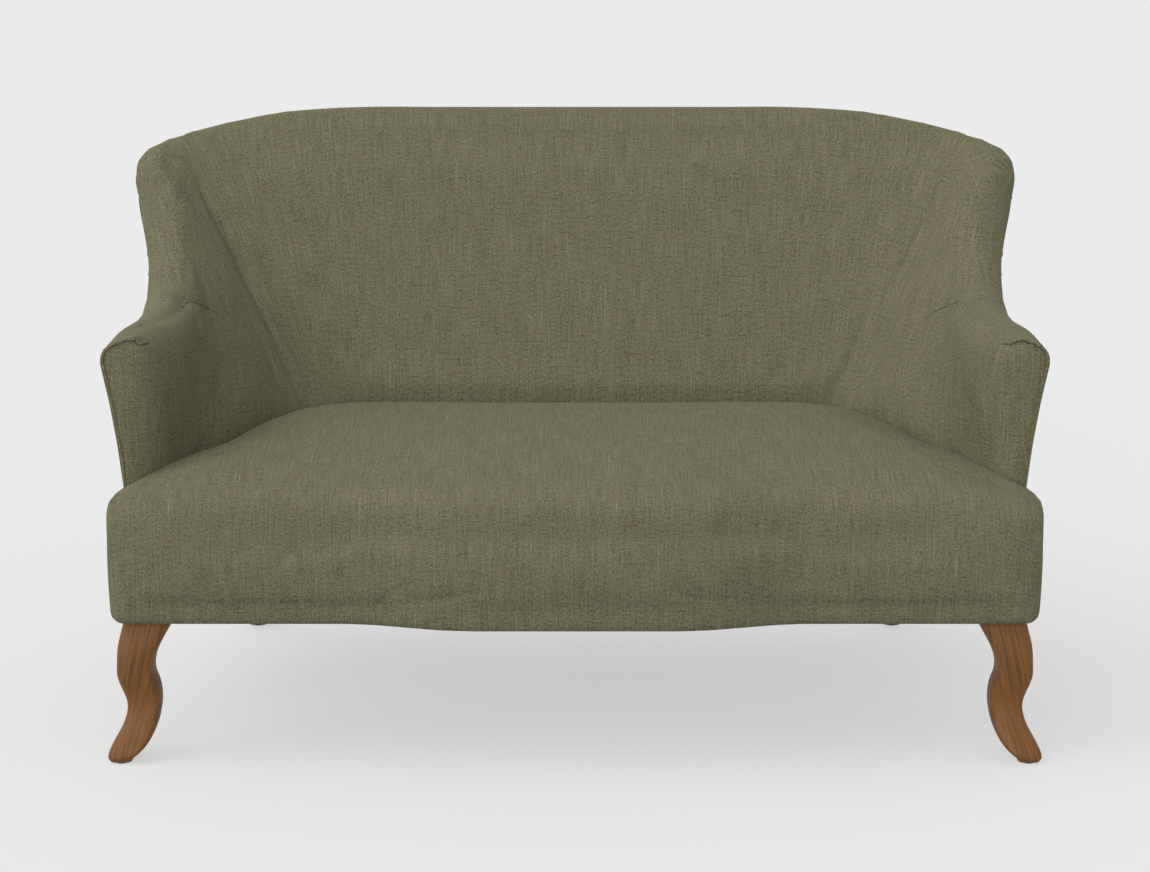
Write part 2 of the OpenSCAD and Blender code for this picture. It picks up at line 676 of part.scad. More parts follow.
// Wing boards lean out with the wings, from the arm rail up to the top corner
wing_stations = [11, 7];
wing_low = crest_point(wing_stations[0]);
wing_high = crest_point(wing_stations[1]);
wing_tilt = atan((wing_high.x - wing_low.x) / (wing_high.z - wing_low.z));
wing_inset_share = .3;
wing_inset = roll_pad * wing_inset_share;
wing_rear = wing_high.y + wing_inset * 2;
wing_foot_share = 4;
wing_foot = -board_t * wing_foot_share;
arm_rail_end = wing_low.y - arm_rail_h;
arm_rail_drop_share = .7;
arm_rail_low = crest_point(arm_station).z - arm_rail_h * arm_rail_drop_share;
wing_lap_share = .9;
function wing_rise(z) = (z - wing_low.z) / cos(wing_tilt);
module wing_board() {
  edge = [for (i = [0:arch_steps])
    let (c = crest_point(mix(wing_stations[0], wing_stations[1], i / arch_steps)))
    [c.y + wing_inset, wing_rise(c.z) - wing_inset]];
  front_low = wing_rise(arm_rail_low);
  front_high = wing_rise(arm_rail_low + arm_rail_h * wing_lap_share);
  color("#c9a878")
    translate([wing_low.x, set_depth(0), wing_low.z])
      rotate([0, wing_tilt, 0])
        rotate([90, 0, 90])
          translate([0, 0, -board_t / 2])
            linear_extrude(board_t)
              polygon(concat([[arm_rail_end, front_low], [arm_rail_end, front_high]], edge,
                [[wing_rear, edge[arch_steps].y], [wing_rear, wing_foot],
                 [wing_rear - block_leg, wing_foot]]));
}
// Stretchers tie each wing board to its back post
stretcher_t = 20;
stretcher_d_share = .8;
stretcher_shares = [.2, .62];
function wing_x(z) = wing_low.x + (z - wing_low.z) * tan(wing_tilt);
module wing_stretchers() {
  for (k = stretcher_shares) {
    z = mix(wing_low.z + wing_foot, wing_high.z, k);
    x = wing_x(z);
    plank_plan(z, stretcher_t, [[post_x + post_w / 2, lean_depth(z)],
      [x, wing_rear - post_w], [x, wing_rear - board_t / 2],
      [post_x + post_w / 2, lean_depth(z) + post_d * stretcher_d_share]]);
  }
}
module wing_board_left() {
  left_side() {
    wing_board();
    color("#c9a878") wing_stretchers();
  }
}
module wing_board_right() {
  wing_board();
  color("#c9a878") wing_stretchers();
}

// Arm post, with a flared head under the arm rail
arm_post_d = 26;
arm_post_at_share = .45;
arm_post_depth = nose_start.y - arm_nose * arm_post_at_share;
arm_post_share = .35;
arm_post_w = arm_w * arm_post_share;
arm_post_x = border_in - panel_t - front_wall - fit_gap * 3 - arm_post_w / 2;
head_in_share = .167;
head_out_share = .285;
arm_head_in = arm_w * head_in_share;
arm_head_out = arm_w * head_out_share;
head_start_share = .55;
head_neck_share = .5;
head_flare_share = .25;
head_inner_share = .3;
module arm_post() {
  low = rail_top;
  high = arm_rail_low;
  mid = mix(low, high, head_start_share);
  left = arm_post_x - arm_post_w / 2;
  right = arm_post_x + arm_post_w / 2;
  color("#c9a878")
    difference() {
      plank_xz(arm_post_depth, arm_post_d, [[left, low], [right, low], [right, mid],
        [right + arm_head_out * head_flare_share, mix(mid, high, head_neck_share)],
        [right + arm_head_out, high - board_t],
        [right + arm_head_out, high], [left - arm_head_in, high],
        [left - arm_head_in, high - board_t], [left, mix(mid, high, head_inner_share)]]);
      dowel_hole(arm_post_x, arm_post_depth + arm_post_d / 2, rail_top);
    }
}
module arm_post_left() { left_side() arm_post(); }
module arm_post_right() { arm_post(); }

arm_rail_station = 12;
module arm_top_rail() {
  start = crest_point(arm_station);
  end = crest_point(arm_rail_station);
  yaw = atan((end.x - start.x) / (end.y - start.y));
  length = arm_rail_end - arm_post_depth;
  color("#c9a878")
    translate([start.x, set_depth(nose_start.y), arm_rail_low])
      rotate([0, 0, -yaw])
        translate([-arm_rail_w / 2, arm_post_depth - nose_start.y, 0])
          cube([arm_rail_w, length, arm_rail_h]);
}
module arm_top_rail_left() { left_side() arm_top_rail(); }
module arm_top_rail_right() { arm_top_rail(); }

tack_lap_share = .6;
module arm_tack_rail() {
  start = arm_post_depth + arm_post_d;
  end = post_x + post_w / 2;
  depth = lean_depth(tack_high) + board_t / 2;
  left = arm_post_x - arm_post_w / 2;
  color("#c9a878")
    plank_plan(tack_low, tack_rail_h, [[left, start], [left + board_t, start],
      [end + board_t, depth], [end, depth + board_t * tack_lap_share], [end, depth - board_t / 2]]);
}
module arm_tack_rail_left() { left_side() arm_tack_rail(); }
module arm_tack_rail_right() { arm_tack_rail(); }

dowel_l = 50;
dowel_clear = .1;
module dowel_hole(x, depth, z) {
  translate([x, set_depth(depth), z - dowel_l / 2 - over])
    cylinder(h = dowel_l + 2 * over, r = dowel_d / 2 + dowel_clear);
}
module frame_dowels() {
  color("#d8bd92")
    for (side = [0, 1])
      mirror([side, 0, 0]) {
        wood_dowel(post_x, post_dowel_depth);
        wood_dowel(arm_post_x, arm_post_depth + arm_post_d / 2);
      }
}
module wood_dowel(x, depth) {
  translate([x, set_depth(depth), rail_top - dowel_l / 2])
    cylinder(h = dowel_l, r = dowel_d / 2);
}

// Zigzag springs run from the front rail to the rear rail
spring_steps = 6;
spring_spread_share = 3;
spring_span = inner_point(3).x * spring_spread_share;
clip_shares = [.4, .3];
function spring_x(i) = (i - (spring_count - 1) / 2) * spring_span / spring_count;
function spring_front(x) = bow_line(x) + border_t + fit_gap + front_rail_t * clip_shares[0];
spring_rear = rear_rail_depth + rear_rail_t * clip_shares[1];
squareness_share = .7;
function zigzag(a) =
  sin(a) / sqrt(1 - squareness_share + squareness_share * sin(a) * sin(a));
module seat_springs() {
  color("#7c7f84")
    for (i = [0:spring_count - 1]) {
      x = spring_x(i);
      front = spring_front(x);
      loops = floor((spring_rear - front) / spring_pitch);
      n = loops * spring_steps;
      mid = [for (k = [-1:n + 1]) [x + (spring_w - wire_d) / 2 * zigzag(360 * k / spring_steps),
        mix(front, spring_rear, k / n)]];
      sides = [for (k = [1:n + 1])
        let (v = mid[k + 1] - mid[k - 1], u = [-v.y, v.x] / norm(v) * wire_d / 2)
        [mid[k] + u, mid[k] - u]];
      plank_plan(wire_z, wire_d, concat([for (p = sides) p[0]],
        [for (p = reversed(sides)) p[1]]));
    }
}

clip_l = 16;
module spring_clips() {
  color("#6f7378")
    for (i = [0:spring_count - 1]) {
      x = spring_x(i);
      for (depth = [spring_front(x), spring_rear - clip_l / 2])
        translate([x - spring_w / 2, set_depth(depth), rail_top])
          cube([spring_w, clip_l / 2, clip_t]);
    }
}

strap_count = 5;
strap_gap = .3;
strap_low_share = .4;
module back_webbing() {
  low = tack_high + strap_w * strap_low_share;
  high = top_rail_low - strap_w;
  color("#a58d62")
    for (i = [0:strap_count - 1]) {
      z = mix(low, high, i / (strap_count - 1));
      plank_side(0, (post_x + post_w / 2) * 2,
        [[lean_depth(z) - strap_t - strap_gap / 2, z], [lean_depth(z) - strap_gap / 2, z],
         [lean_depth(z + strap_w) - strap_gap / 2, z + strap_w],
         [lean_depth(z + strap_w) - strap_t - strap_gap / 2, z + strap_w]]);
    }
}

burlap_clear_shares = [2, 4];
module seat_burlap() {
  side = arm_post_x - arm_post_w;
  xs = concat([-side], [for (p = seat_plan) if (abs(p[0]) < side) p[0]], [side]);
  front = [for (x = xs) [x, bow_line(x) + border_t + fit_gap]];
  rear_in = rear_rail_depth - rail_lift * burlap_clear_shares[0];
  inside = post_in - soft_gap * burlap_clear_shares[1];
  color("#9c8458")
    plank_plan(burlap_z, burlap_t, concat(front, [[side - chamfer / 2, rear_in],
      [inside, rear_in], [inside, spring_rear + clip_l / 2], [-inside, spring_rear + clip_l / 2],
      [-inside, rear_in], [chamfer / 2 - side, rear_in]]));
}

cambric_t = 1;
cambric_in_share = 1.4;
cambric_lap_share = .8;
opening_at_share = .9;
module dust_cover() {
  xs = concat([-rail_in + border_t], [for (p = seat_plan) if (abs(p[0]) < rail_in - border_t) p[0]],
    [rail_in - border_t]);
  front = [for (x = xs) [x, bow_line(x) + border_t * cambric_in_share]];
  rear = rear_rail_depth + rear_rail_t * cambric_lap_share;
  wide = side_x(rear_rail_depth) - chamfer;
  color("#2b2b2b")
    difference() {
      plank_plan(rail_z - cambric_t, cambric_t, concat(front,
        [[side_x(rear_rail_depth - chamfer) - rail_lift, rear_rail_depth - chamfer],
         [wide - rail_lift, rear], [rail_lift - wide, rear],
         [rail_lift - side_x(rear_rail_depth - chamfer), rear_rail_depth - chamfer]]));
      for (side = [0, 1])
        mirror([side, 0, 0]) {
          leg_opening([toe_x - leg_top_w * opening_at_share, leg_top_w * opening_at_share]);
          leg_opening(rear_bolt);
        }
    }
}
opening_w = 100;
module leg_opening(at) {
  translate([at.x - opening_w / 2, set_depth(at.y) - opening_w / 2, rail_z - cambric_t - over])
    cube([opening_w, opening_w, cambric_t + 2 * over]);
}

// Cabriole front legs. Heights are shares of the leg, and the outer and inner edges are
// shares of leg_top_w in from the toe, alike across the width and from front to back.
toe_x = border_in + toe_out;
leg_height_shares = [0, .035, .075, .145, .22, .29, .36, .43, .5, .57, .64, .71, .78, .85,
  .92, 1];
leg_outer_shares = [.05, .0, .02, .14, .28, .36, .405, .395, .34, .29, .262, .262, .27, .32,
  .375, .41];
leg_inner_shares = [.41, .46, .63, .79, .92, 1.0, 1.05, 1.08, 1.085, 1.045, 1.03, 1.04, 1.09,
  1.17, 1.3, 1.42];
leg_last = len(leg_height_shares) - 1;
leg_ring_count = 18;
leg_side_count = 16;
squaring_share = .5;
function rounded(c) = sign(c) * pow(abs(c), squaring_share);
function leg_ring(s) =
  let (z = mix(glide_t, leg_top, share_at(leg_height_shares, s)))
  let (near = share_at(leg_outer_shares, s) * leg_top_w)
  let (far = share_at(leg_inner_shares, s) * leg_top_w)
  let (mid = (near + far) / 2, half = (far - near) / 2)
  [for (i = [0:leg_side_count - 1]) let (a = 360 * (i + .5) / leg_side_count)
    [toe_x - mid + half * rounded(cos(a)), mid + half * rounded(sin(a)), z]];
module front_leg() {
  color("#7a4b28")
    difference() {
      skin([for (i = [0:leg_ring_count]) leg_ring(leg_last * i / leg_ring_count)], inside_out = true);
      upright_bore(front_bolt, bolt_low, leg_top - bolt_low + over, bolt_d / 2 + dowel_clear);
    }
}
module front_leg_left() { left_side() front_leg(); }
module front_leg_right() { front_leg(); }

// Rear legs sweep back to the feet
rear_back_share = .25;
rear_top_at = [rear_bolt.x, rear_bolt.y + rear_top_w * rear_back_share];
rear_foot_shares = [.7, .05];
rear_foot_at = [rear_top_at.x - rear_foot_w * rear_foot_shares.x,
  crest_d + rear_foot_w * rear_foot_shares.y];
rear_taper_share = .8;
rear_sweep_share = 1.7;
rear_ring_count = 12;
function rear_ring(t) =
  let (half = mix(rear_foot_w, rear_top_w, pow(t, rear_taper_share)) / 2)
  let (sweep = pow(1 - t, rear_sweep_share), z = mix(glide_t, leg_top, t))
  let (x = mix(rear_top_at.x, rear_foot_at.x, sweep), d = mix(rear_top_at.y, rear_foot_at.y, sweep))
  [for (i = [0:leg_side_count - 1]) let (a = 360 * (i + .5) / leg_side_count)
    [x + half * rounded(cos(a)), d + half * rounded(sin(a)), z]];
module rear_leg() {
  color("#6b4123")
    difference() {
      skin([for (i = [0:rear_ring_count]) rear_ring(i / rear_ring_count)], inside_out = true);
      upright_bore(rear_bolt, bolt_low, leg_top - bolt_low + over, bolt_d / 2 + dowel_clear);
    }
}
module rear_leg_left() { left_side() rear_leg(); }
module rear_leg_right() { rear_leg(); }

module foot_glides() {
  toe_mid = (leg_outer_shares[0] + leg_inner_shares[0]) / 2 * leg_top_w;
  color("#2a2a2c")
    for (side = [0, 1], at = [[toe_x - toe_mid, toe_mid], rear_foot_at])
      mirror([side, 0, 0])
        translate([at.x, set_depth(at.y), 0])
          cylinder(h = glide_t, r = glide_r);
}

front_leg_left();
front_leg_right();
rear_leg_left();
rear_leg_right();
foot_glides();
leg_bolts();
leg_plates();
front_seat_rail();
rear_seat_rail();
side_seat_rail_left();
side_seat_rail_right();
seat_centre_brace();
corner_blocks();
back_post_left();
back_post_right();
back_centre_upright();
back_top_rail();
back_tack_rail();
wing_board_left();
wing_board_right();
arm_post_left();
arm_post_right();
arm_top_rail_left();
arm_top_rail_right();
arm_tack_rail_left();
arm_tack_rail_right();
frame_dowels();
seat_springs();
spring_clips();
back_webbing();
seat_burlap();
seat_pad();
inside_back();
inside_arm_left();
inside_arm_right();
arm_front_left();
arm_front_right();
outside_back();
outside_arm_left();
outside_arm_right();
dust_cover();
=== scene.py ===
import math

import bpy
import numpy as np
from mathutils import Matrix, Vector


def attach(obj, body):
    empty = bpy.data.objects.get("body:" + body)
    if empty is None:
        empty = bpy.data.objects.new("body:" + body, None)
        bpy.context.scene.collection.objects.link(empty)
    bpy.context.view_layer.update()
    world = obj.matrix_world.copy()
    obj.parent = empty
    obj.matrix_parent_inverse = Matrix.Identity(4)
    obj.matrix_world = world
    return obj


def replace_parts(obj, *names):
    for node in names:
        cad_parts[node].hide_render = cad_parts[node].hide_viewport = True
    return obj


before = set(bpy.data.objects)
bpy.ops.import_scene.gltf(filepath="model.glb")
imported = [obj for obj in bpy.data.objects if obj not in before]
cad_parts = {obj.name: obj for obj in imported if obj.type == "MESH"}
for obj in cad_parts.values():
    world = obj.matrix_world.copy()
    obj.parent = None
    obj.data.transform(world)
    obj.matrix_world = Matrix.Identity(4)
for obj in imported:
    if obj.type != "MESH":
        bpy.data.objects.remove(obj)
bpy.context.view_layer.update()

bl_info = {
    "name": "High Back Settee",
    "version": (1, 0, 0),
    "blender": (4, 5, 0),
    "location": "3D View > Sidebar > Settee",
    "description": "Dresses the packed frame of a high back settee in linen, oak and steel",
    "category": "Add Mesh",
}

INSIDE_NODES = ("inside_back", "inside_arm_left", "inside_arm_right",
                "arm_front_left", "arm_front_right")
OUTSIDE_NODES = ("outside_back", "outside_arm_left", "outside_arm_right")
WOOD_NODES = ("front_seat_rail", "rear_seat_rail", "side_seat_rail_left",
              "side_seat_rail_right", "seat_centre_brace", "corner_blocks",
              "back_post_left", "back_post_right", "back_centre_upright",
              "back_top_rail", "back_tack_rail", "wing_board_left", "wing_board_right",
              "arm_post_left", "arm_post_right", "arm_top_rail_left",
              "arm_top_rail_right", "arm_tack_rail_left", "arm_tack_rail_right",
              "frame_dowels")

# The right half of the settee at fifteen stations, from the middle of the back round the
# wing and along the arm, with finer steps between them: the foot of the inside at the seat
# line, the line in the middle of the rolled top, where it falls as the wing's rim, the
# roll's radius, and the foot of the outside, in metres
STATIONS = 15
FINE_STEPS = 20
SEAT_LINE = .44
INSIDE_FOOT = ((0, .1488), (.1204, .1488), (.24, .1488), (.3451, .1488), (.4053, .1456),
               (.4459, .1347), (.472, .1128), (.4901, .0846), (.5053, .0578),
               (.5213, .0257), (.5401, -.0093), (.5597, -.0453), (.5844, -.0813),
               (.6061, -.1172), (.6279, -.1575))
ROLL_LINE = ((0, .3485, .902), (.1204, .3485, .902), (.2451, .3485, .902),
             (.3698, .3478, .902), (.493, .3429, .8951), (.6018, .3287, .8761),
             (.6815, .2977, .857), (.7149, .2568, .8336), (.7018, .218, .7925),
             (.6808, .1791, .7403), (.667, .1333, .6895), (.659, .0705, .6456),
             (.6561, -.0072, .6193), (.6598, -.082, .61), (.6677, -.1575, .6082))
RIM_STATIONS = (5.5, 12.5)
ROLL_RADIUS = .043
OUTSIDE_FOOT = ((0, .3104), (.1204, .3104), (.2451, .3104), (.3698, .3104), (.4901, .3104),
                (.5902, .3097), (.6453, .2913), (.6677, .2427), (.6714, .2024),
                (.675, .1626), (.6793, .1177), (.683, .0627), (.6859, -.0072),
                (.6888, -.082), (.6909, -.1575))
FRAME_FOOT = .225
ARM_FACE = -.2455
ARM_SIDE = .706
ARM_MIDDLE = .6799
WING_CORNER = (.7149, .8336)
CORNER_REACH = .024
# How far the cloth stands up over the top line, out at the wing corners, out at the sides
# of the arm fronts, and in at the edge of the roll under the wing corners
CREST_LIFT = .0022
CORNER_PULL = .007
SIDE_CLOSING = .0035
LIP_TRIM = .0025
# Height on a front leg, and how far out its outer and its inner edge move there
LEG_LINE = ((0, .003, -.0025), (.009, .0035, -.004), (.016, .004, -.0062),
            (.03, .004, -.0055), (.05, .004, -.003), (.07, .005, 0), (.085, .0055, .001),
            (.10, .009, .0035), (.12, .0105, .0065), (.135, .0105, .0085), (.15, .008, .008),
            (.17, .007, .0045), (.19, .007, 0), (.215, .007, -.001), (.26, .006, 0))
# Where the cloth of the arm is folded over the arm front, from the inside round the top
# and down beside the outside panel
ARM_FOLD = np.array(((.640, -.228, .644), (.655, -.241, .6435), (.668, -.2455, .6416),
                     (.6907, -.2465, .6400), (.7044, -.2465, .6360), (.7125, -.2465, .629),
                     (.7175, -.2460, .619), (.7195, -.2455, .606), (.7165, -.2455, .590),
                     (.7109, -.2455, .560), (.7045, -.2455, .520), (.6991, -.2455, .480),
                     (.6949, -.2455, .440), (.6935, -.2455, .425)))
# Two soft valleys that start at the foot of the wing: out over the arm, and in along it,
# where the cloth also has a fine crease
WING_FOLDS = (((.635, -.0012, .6613), (.637, -.0188, .6576), (.6394, -.0418, .6549),
               (.6417, -.0655, .6524), (.6464, -.084, .6516), (.6505, -.1051, .6512),
               (.6562, -.125, .6514), (.6635, -.1446, .6516), (.6721, -.1649, .6505),
               (.6837, -.1774, .6479)),
              ((.6355, -.0369, .6541), (.6348, -.0124, .6582), (.6326, .0032, .6614),
               (.6249, .0152, .6602), (.6159, .0287, .6555), (.6075, .0458, .6486),
               (.599, .062, .6392), (.5895, .0729, .6281), (.5806, .0768, .6165)))
# Distance out from the middle, and how far the top line moves up there
CREST_TRIM = ((.606, 0), (.63, -.002), (.655, -.0033), (.675, -.0022), (.684, -.0036),
              (.692, -.0062), (.6985, -.0056), (.706, -.002), (.713, .0007), (.729, .002),
              (.742, .0075))
# How far the outside panels are tucked up under the roll
PANEL_TUCK = .012
# How far the sides of the seat's ears stand out, and how far forward they begin
EAR_PULL = .0035
EAR_FRONT = .36
# The dip of the seat beside each arm: where it is, its depth and its reach
SEAT_DIP = (.575, -.075, .010, .055)
# How far the lower edge of the seat border hangs below the frame
BORDER_DROP = .003
# The points along a cord, over how many it thins out at an end, and its share there
CORD_POINTS = 48
CORD_TAPER = 6
CORD_TIP = .15
# Each soft lamp's name, its height in degrees, and how far it is turned from the front
LAMPS = (("key", 40, -80), ("fill", 15, -15))
LAMP_SPREAD = math.radians(45)
FLOOR_SIZE = 160
# The stuffing: how hard it presses, for how many frames
PRESSURE = 4
LAST_FRAME = 20


def linear(code):
    """A colour written as an sRGB hex code, as the linear values that a shader takes."""
    parts = [int(code[i:i + 2], 16) / 255 for i in (1, 3, 5)]
    return (*(c / 12.92 if c <= .04045 else ((c + .055) / 1.055) ** 2.4 for c in parts), 1)


def hex_colour(name, about, code):
    """A colour property that starts from an sRGB hex code."""
    return bpy.props.FloatVectorProperty(name=name, description=about, subtype="COLOR",
                                         size=4, min=0, max=1, default=linear(code))


class SetteeUpholstery(bpy.types.PropertyGroup):
    """The cloth and how it is stuffed"""
    light: hex_colour("Light thread", "Colour of the pale linen threads", "#8e8b6e")
    dark: hex_colour("Dark thread", "Colour of the dark linen threads", "#4a4730")
    warm: hex_colour("Warm fleck", "Colour of the brown flecks in the yarn", "#86694a")
    cover_voxel: bpy.props.FloatProperty(
        name="Cover grain", description="Mesh size of the inside cover before it is stuffed",
        default=.006, min=.004, max=.012, unit="LENGTH")
    seat_voxel: bpy.props.FloatProperty(
        name="Seat grain", description="Mesh size of the seat before it is stuffed",
        default=.006, min=.004, max=.012, unit="LENGTH")
    proud: bpy.props.FloatProperty(
        name="Proud", description="How far the cloth stands out from the plain pads",
        default=.0012, min=0, max=.005, unit="LENGTH")
    slack: bpy.props.FloatProperty(
        name="Slack", description="How far each pad is drawn in before it swells",
        default=.003, min=0, max=.01, unit="LENGTH")
    swell: bpy.props.FloatProperty(
        name="Swell", description="The furthest that the stuffing pushes the cover out",
        default=.006, min=0, max=.03, unit="LENGTH")


class SetteeLegs(bpy.types.PropertyGroup):
    """The wood of the legs"""
    light: hex_colour("Early wood", "Colour of the pale wood between the rings", "#96642f")
    dark: hex_colour("Late wood", "Colour of the darker rings", "#5e3d1d")
    pore: hex_colour("Pores", "Colour of the open pores", "#3d2614")


class SetteeStage(bpy.types.PropertyGroup):
    """The camera, the floor and the light"""
    distance: bpy.props.FloatProperty(
        name="Distance", description="From the camera to the middle of the settee",
        default=3.5082, min=1, unit="LENGTH")
    height: bpy.props.FloatProperty(
        name="Height", description="Height of the camera over the floor",
        default=1.237, min=.1, unit="LENGTH")
    pitch: bpy.props.FloatProperty(
        name="Pitch", description="How far the camera looks down",
        default=math.radians(12.86), unit="ROTATION")
    lens: bpy.props.FloatProperty(
        name="Lens", description="Focal length in millimetres on a 36 mm sensor",
        default=68.37, min=20, max=200)
    floor: hex_colour("Floor", "Colour of the pale studio floor", "#ebebeb")
    sky: bpy.props.FloatProperty(
        name="Sky", description="Strength of the even studio light", default=.56, min=0)
    key: bpy.props.FloatProperty(
        name="Key", description="Strength of the soft light from the left", default=.92, min=0)
    fill: bpy.props.FloatProperty(
        name="Fill", description="Strength of the soft light from the front", default=1.1,
        min=0)
    paper: bpy.props.FloatProperty(
        name="Paper", description="How much of the light the floor throws back",
        default=.38, min=0, max=1)


def node(tree, kind, inputs=None, **settings):
    """Adds a shader node with its settings, and links or sets its inputs."""
    made = tree.nodes.new(kind)
    for name, value in settings.items():
        setattr(made, name, value)
    for socket, value in (inputs or {}).items():
        if isinstance(value, bpy.types.NodeSocket):
            tree.links.new(value, made.inputs[socket])
        else:
            made.inputs[socket].default_value = value
    return made


def new_material(name):
    """An empty node material with its output, and the tree to fill."""
    made = bpy.data.materials.new(name)
    made.use_nodes = True
    made.node_tree.nodes.clear()
    return made, made.node_tree


def finish_material(tree, shader):
    """Sends a shader to the surface of its material."""
    node(tree, "ShaderNodeOutputMaterial", {"Surface": shader.outputs[0]})


def streaks(tree, where, width, length, detail=1.0, seed=0.0):
    """Noise in cells of width by length metres, as a 0 to 1 value."""
    placed = node(tree, "ShaderNodeMapping", {
        "Vector": where, "Location": (seed, seed * 1.7, 0),
        "Scale": (1 / width, 1 / length, 1 / width)})
    return node(tree, "ShaderNodeTexNoise", {
        "Vector": placed.outputs[0], "Scale": 1.0, "Detail": detail, "Roughness": .5},
        noise_dimensions="3D").outputs["Fac"]


def stretch(tree, value, low, high, to_low=0.0, to_high=1.0):
    """A value spread from low..high to to_low..to_high, and kept inside them."""
    return node(tree, "ShaderNodeMapRange", {
        "Value": value, "From Min": low, "From Max": high,
        "To Min": to_low, "To Max": to_high}).outputs[0]


def total(tree, *terms):
    """The sum of value times share over all terms."""
    out = None
    for value, share in terms:
        made = node(tree, "ShaderNodeMath", {0: value, 1: share}, operation="MULTIPLY")
        if out is not None:
            made = node(tree, "ShaderNodeMath", {0: made.outputs[0], 1: out}, operation="ADD")
        out = made.outputs[0]
    return out


def blended(tree, share, first, second):
    """A colour between two others."""
    return node(tree, "ShaderNodeMix", {0: share, 6: first, 7: second},
                data_type="RGBA").outputs[2]


def slub_linen(settings):
    """Piece-dyed linen, plain woven from uneven slub yarn, so it shows long upright slubs,
    fine cross threads and soft brown flecks on a dull moss green."""
    made, tree = new_material("slub_linen")
    # The falling rims of the wings have a map of their own, where the threads follow the
    # rim. Threads are 0.6 mm apart in the cloth and are drawn about 3 mm wide, to show in
    # the picture
    rim = node(tree, "ShaderNodeAttribute", attribute_name="rim").outputs["Fac"]
    laid = []
    for name in ("weave", "weave_rim"):
        where = node(tree, "ShaderNodeUVMap", uv_map=name).outputs[0]
        warp = stretch(tree, streaks(tree, where, .0031, .060, 1, 3), .3, .7)
        weft = stretch(tree, streaks(tree, where, .022, .0029, 1, 7), .3, .7)
        pepper = stretch(tree, streaks(tree, where, .0029, .0032, 1, 11), .3, .7)
        slub = stretch(tree, streaks(tree, where, .0030, .110, 1, 17), .62, .74)
        gap = stretch(tree, streaks(tree, where, .060, .0030, 1, 23), .64, .76)
        cloud = stretch(tree, streaks(tree, where, .035, .070, 3, 29), .3, .7)
        laid.append((total(tree, (warp, .22), (weft, .16), (pepper, .54), (cloud, .08),
                           (slub, .24), (gap, -.22)),
                     stretch(tree, streaks(tree, where, .006, .012, 2, 41), .56, .72, 0, .3),
                     total(tree, (warp, .4), (weft, .4), (pepper, .3), (slub, .5))))
    shade, fleck, relief = (
        node(tree, "ShaderNodeMix", {0: rim, 2: first, 3: second}).outputs[0]
        for first, second in zip(*laid))
    cloth = blended(tree, shade, settings.dark, settings.light)
    cloth = blended(tree, fleck, cloth, settings.warm)
    bump = node(tree, "ShaderNodeBump", {"Height": relief, "Strength": .35, "Distance": .0006})
    shader = node(tree, "ShaderNodeBsdfPrincipled", {
        "Base Color": cloth, "Normal": bump.outputs[0], "Roughness": .93,
        "Specular IOR Level": .25, "Sheen Weight": .12, "Sheen Roughness": .5,
        "Sheen Tint": linear("#b3b092")})
    finish_material(tree, shader)
    return made


def stained_oak(settings):
    """Oak stained mid brown under satin lacquer, sawn and sanded, so fine pores run
    near upright between soft rings and the edges catch a broad dull shine."""
    made, tree = new_material("stained_oak")
    # Both legs of a pair come from mirrored boards, with the grain leaning out to the foot
    where = node(tree, "ShaderNodeTexCoord").outputs["Object"]
    paired = node(tree, "ShaderNodeVectorMath", {0: where}, operation="ABSOLUTE").outputs[0]
    leaning = node(tree, "ShaderNodeMapping", {
        "Vector": paired, "Rotation": (0, math.radians(13), 0),
        "Scale": (1, .12, 1)}).outputs[0]
    turned = node(tree, "ShaderNodeMapping", {
        "Vector": leaning, "Rotation": (math.radians(90), 0, 0)}).outputs[0]
    rings = stretch(tree, streaks(tree, turned, .0030, .45, 2, 5), .30, .70)
    pores = stretch(tree, streaks(tree, turned, .0024, .140, 1, 9), .52, .68)
    broad = stretch(tree, streaks(tree, turned, .026, .16, 2, 13), .3, .7)
    shade = total(tree, (rings, .56), (broad, .36))
    wood = blended(tree, shade, settings.dark, settings.light)
    wood = blended(tree, total(tree, (pores, .45)), wood, settings.pore)
    bump = node(tree, "ShaderNodeBump", {
        "Height": total(tree, (pores, -1.0), (rings, .2)), "Strength": .25,
        "Distance": .0003})
    shader = node(tree, "ShaderNodeBsdfPrincipled", {
        "Base Color": wood, "Normal": bump.outputs[0],
        "Roughness": stretch(tree, rings, 0, 1, .46, .58), "IOR": 1.5,
        "Specular IOR Level": .32})
    finish_material(tree, shader)
    return made


def waxed_thread():
    """Painted shade: a dark cord of twisted yarn laid in the crease under each arm fold, where it stands
    in for the fine shadow line of the fold.
    """
    made, tree = new_material("waxed_thread")
    where = node(tree, "ShaderNodeTexCoord").outputs["Object"]
    twist = stretch(tree, streaks(tree, where, .0009, .0009, 1, 3), .3, .7)
    yarn = blended(tree, twist, linear("#1f1e14"), linear("#37352a"))
    bump = node(tree, "ShaderNodeBump", {"Height": twist, "Strength": .3, "Distance": .0003})
    shader = node(tree, "ShaderNodeBsdfPrincipled", {
        "Base Color": yarn, "Normal": bump.outputs[0], "Roughness": .8})
    finish_material(tree, shader)
    return made


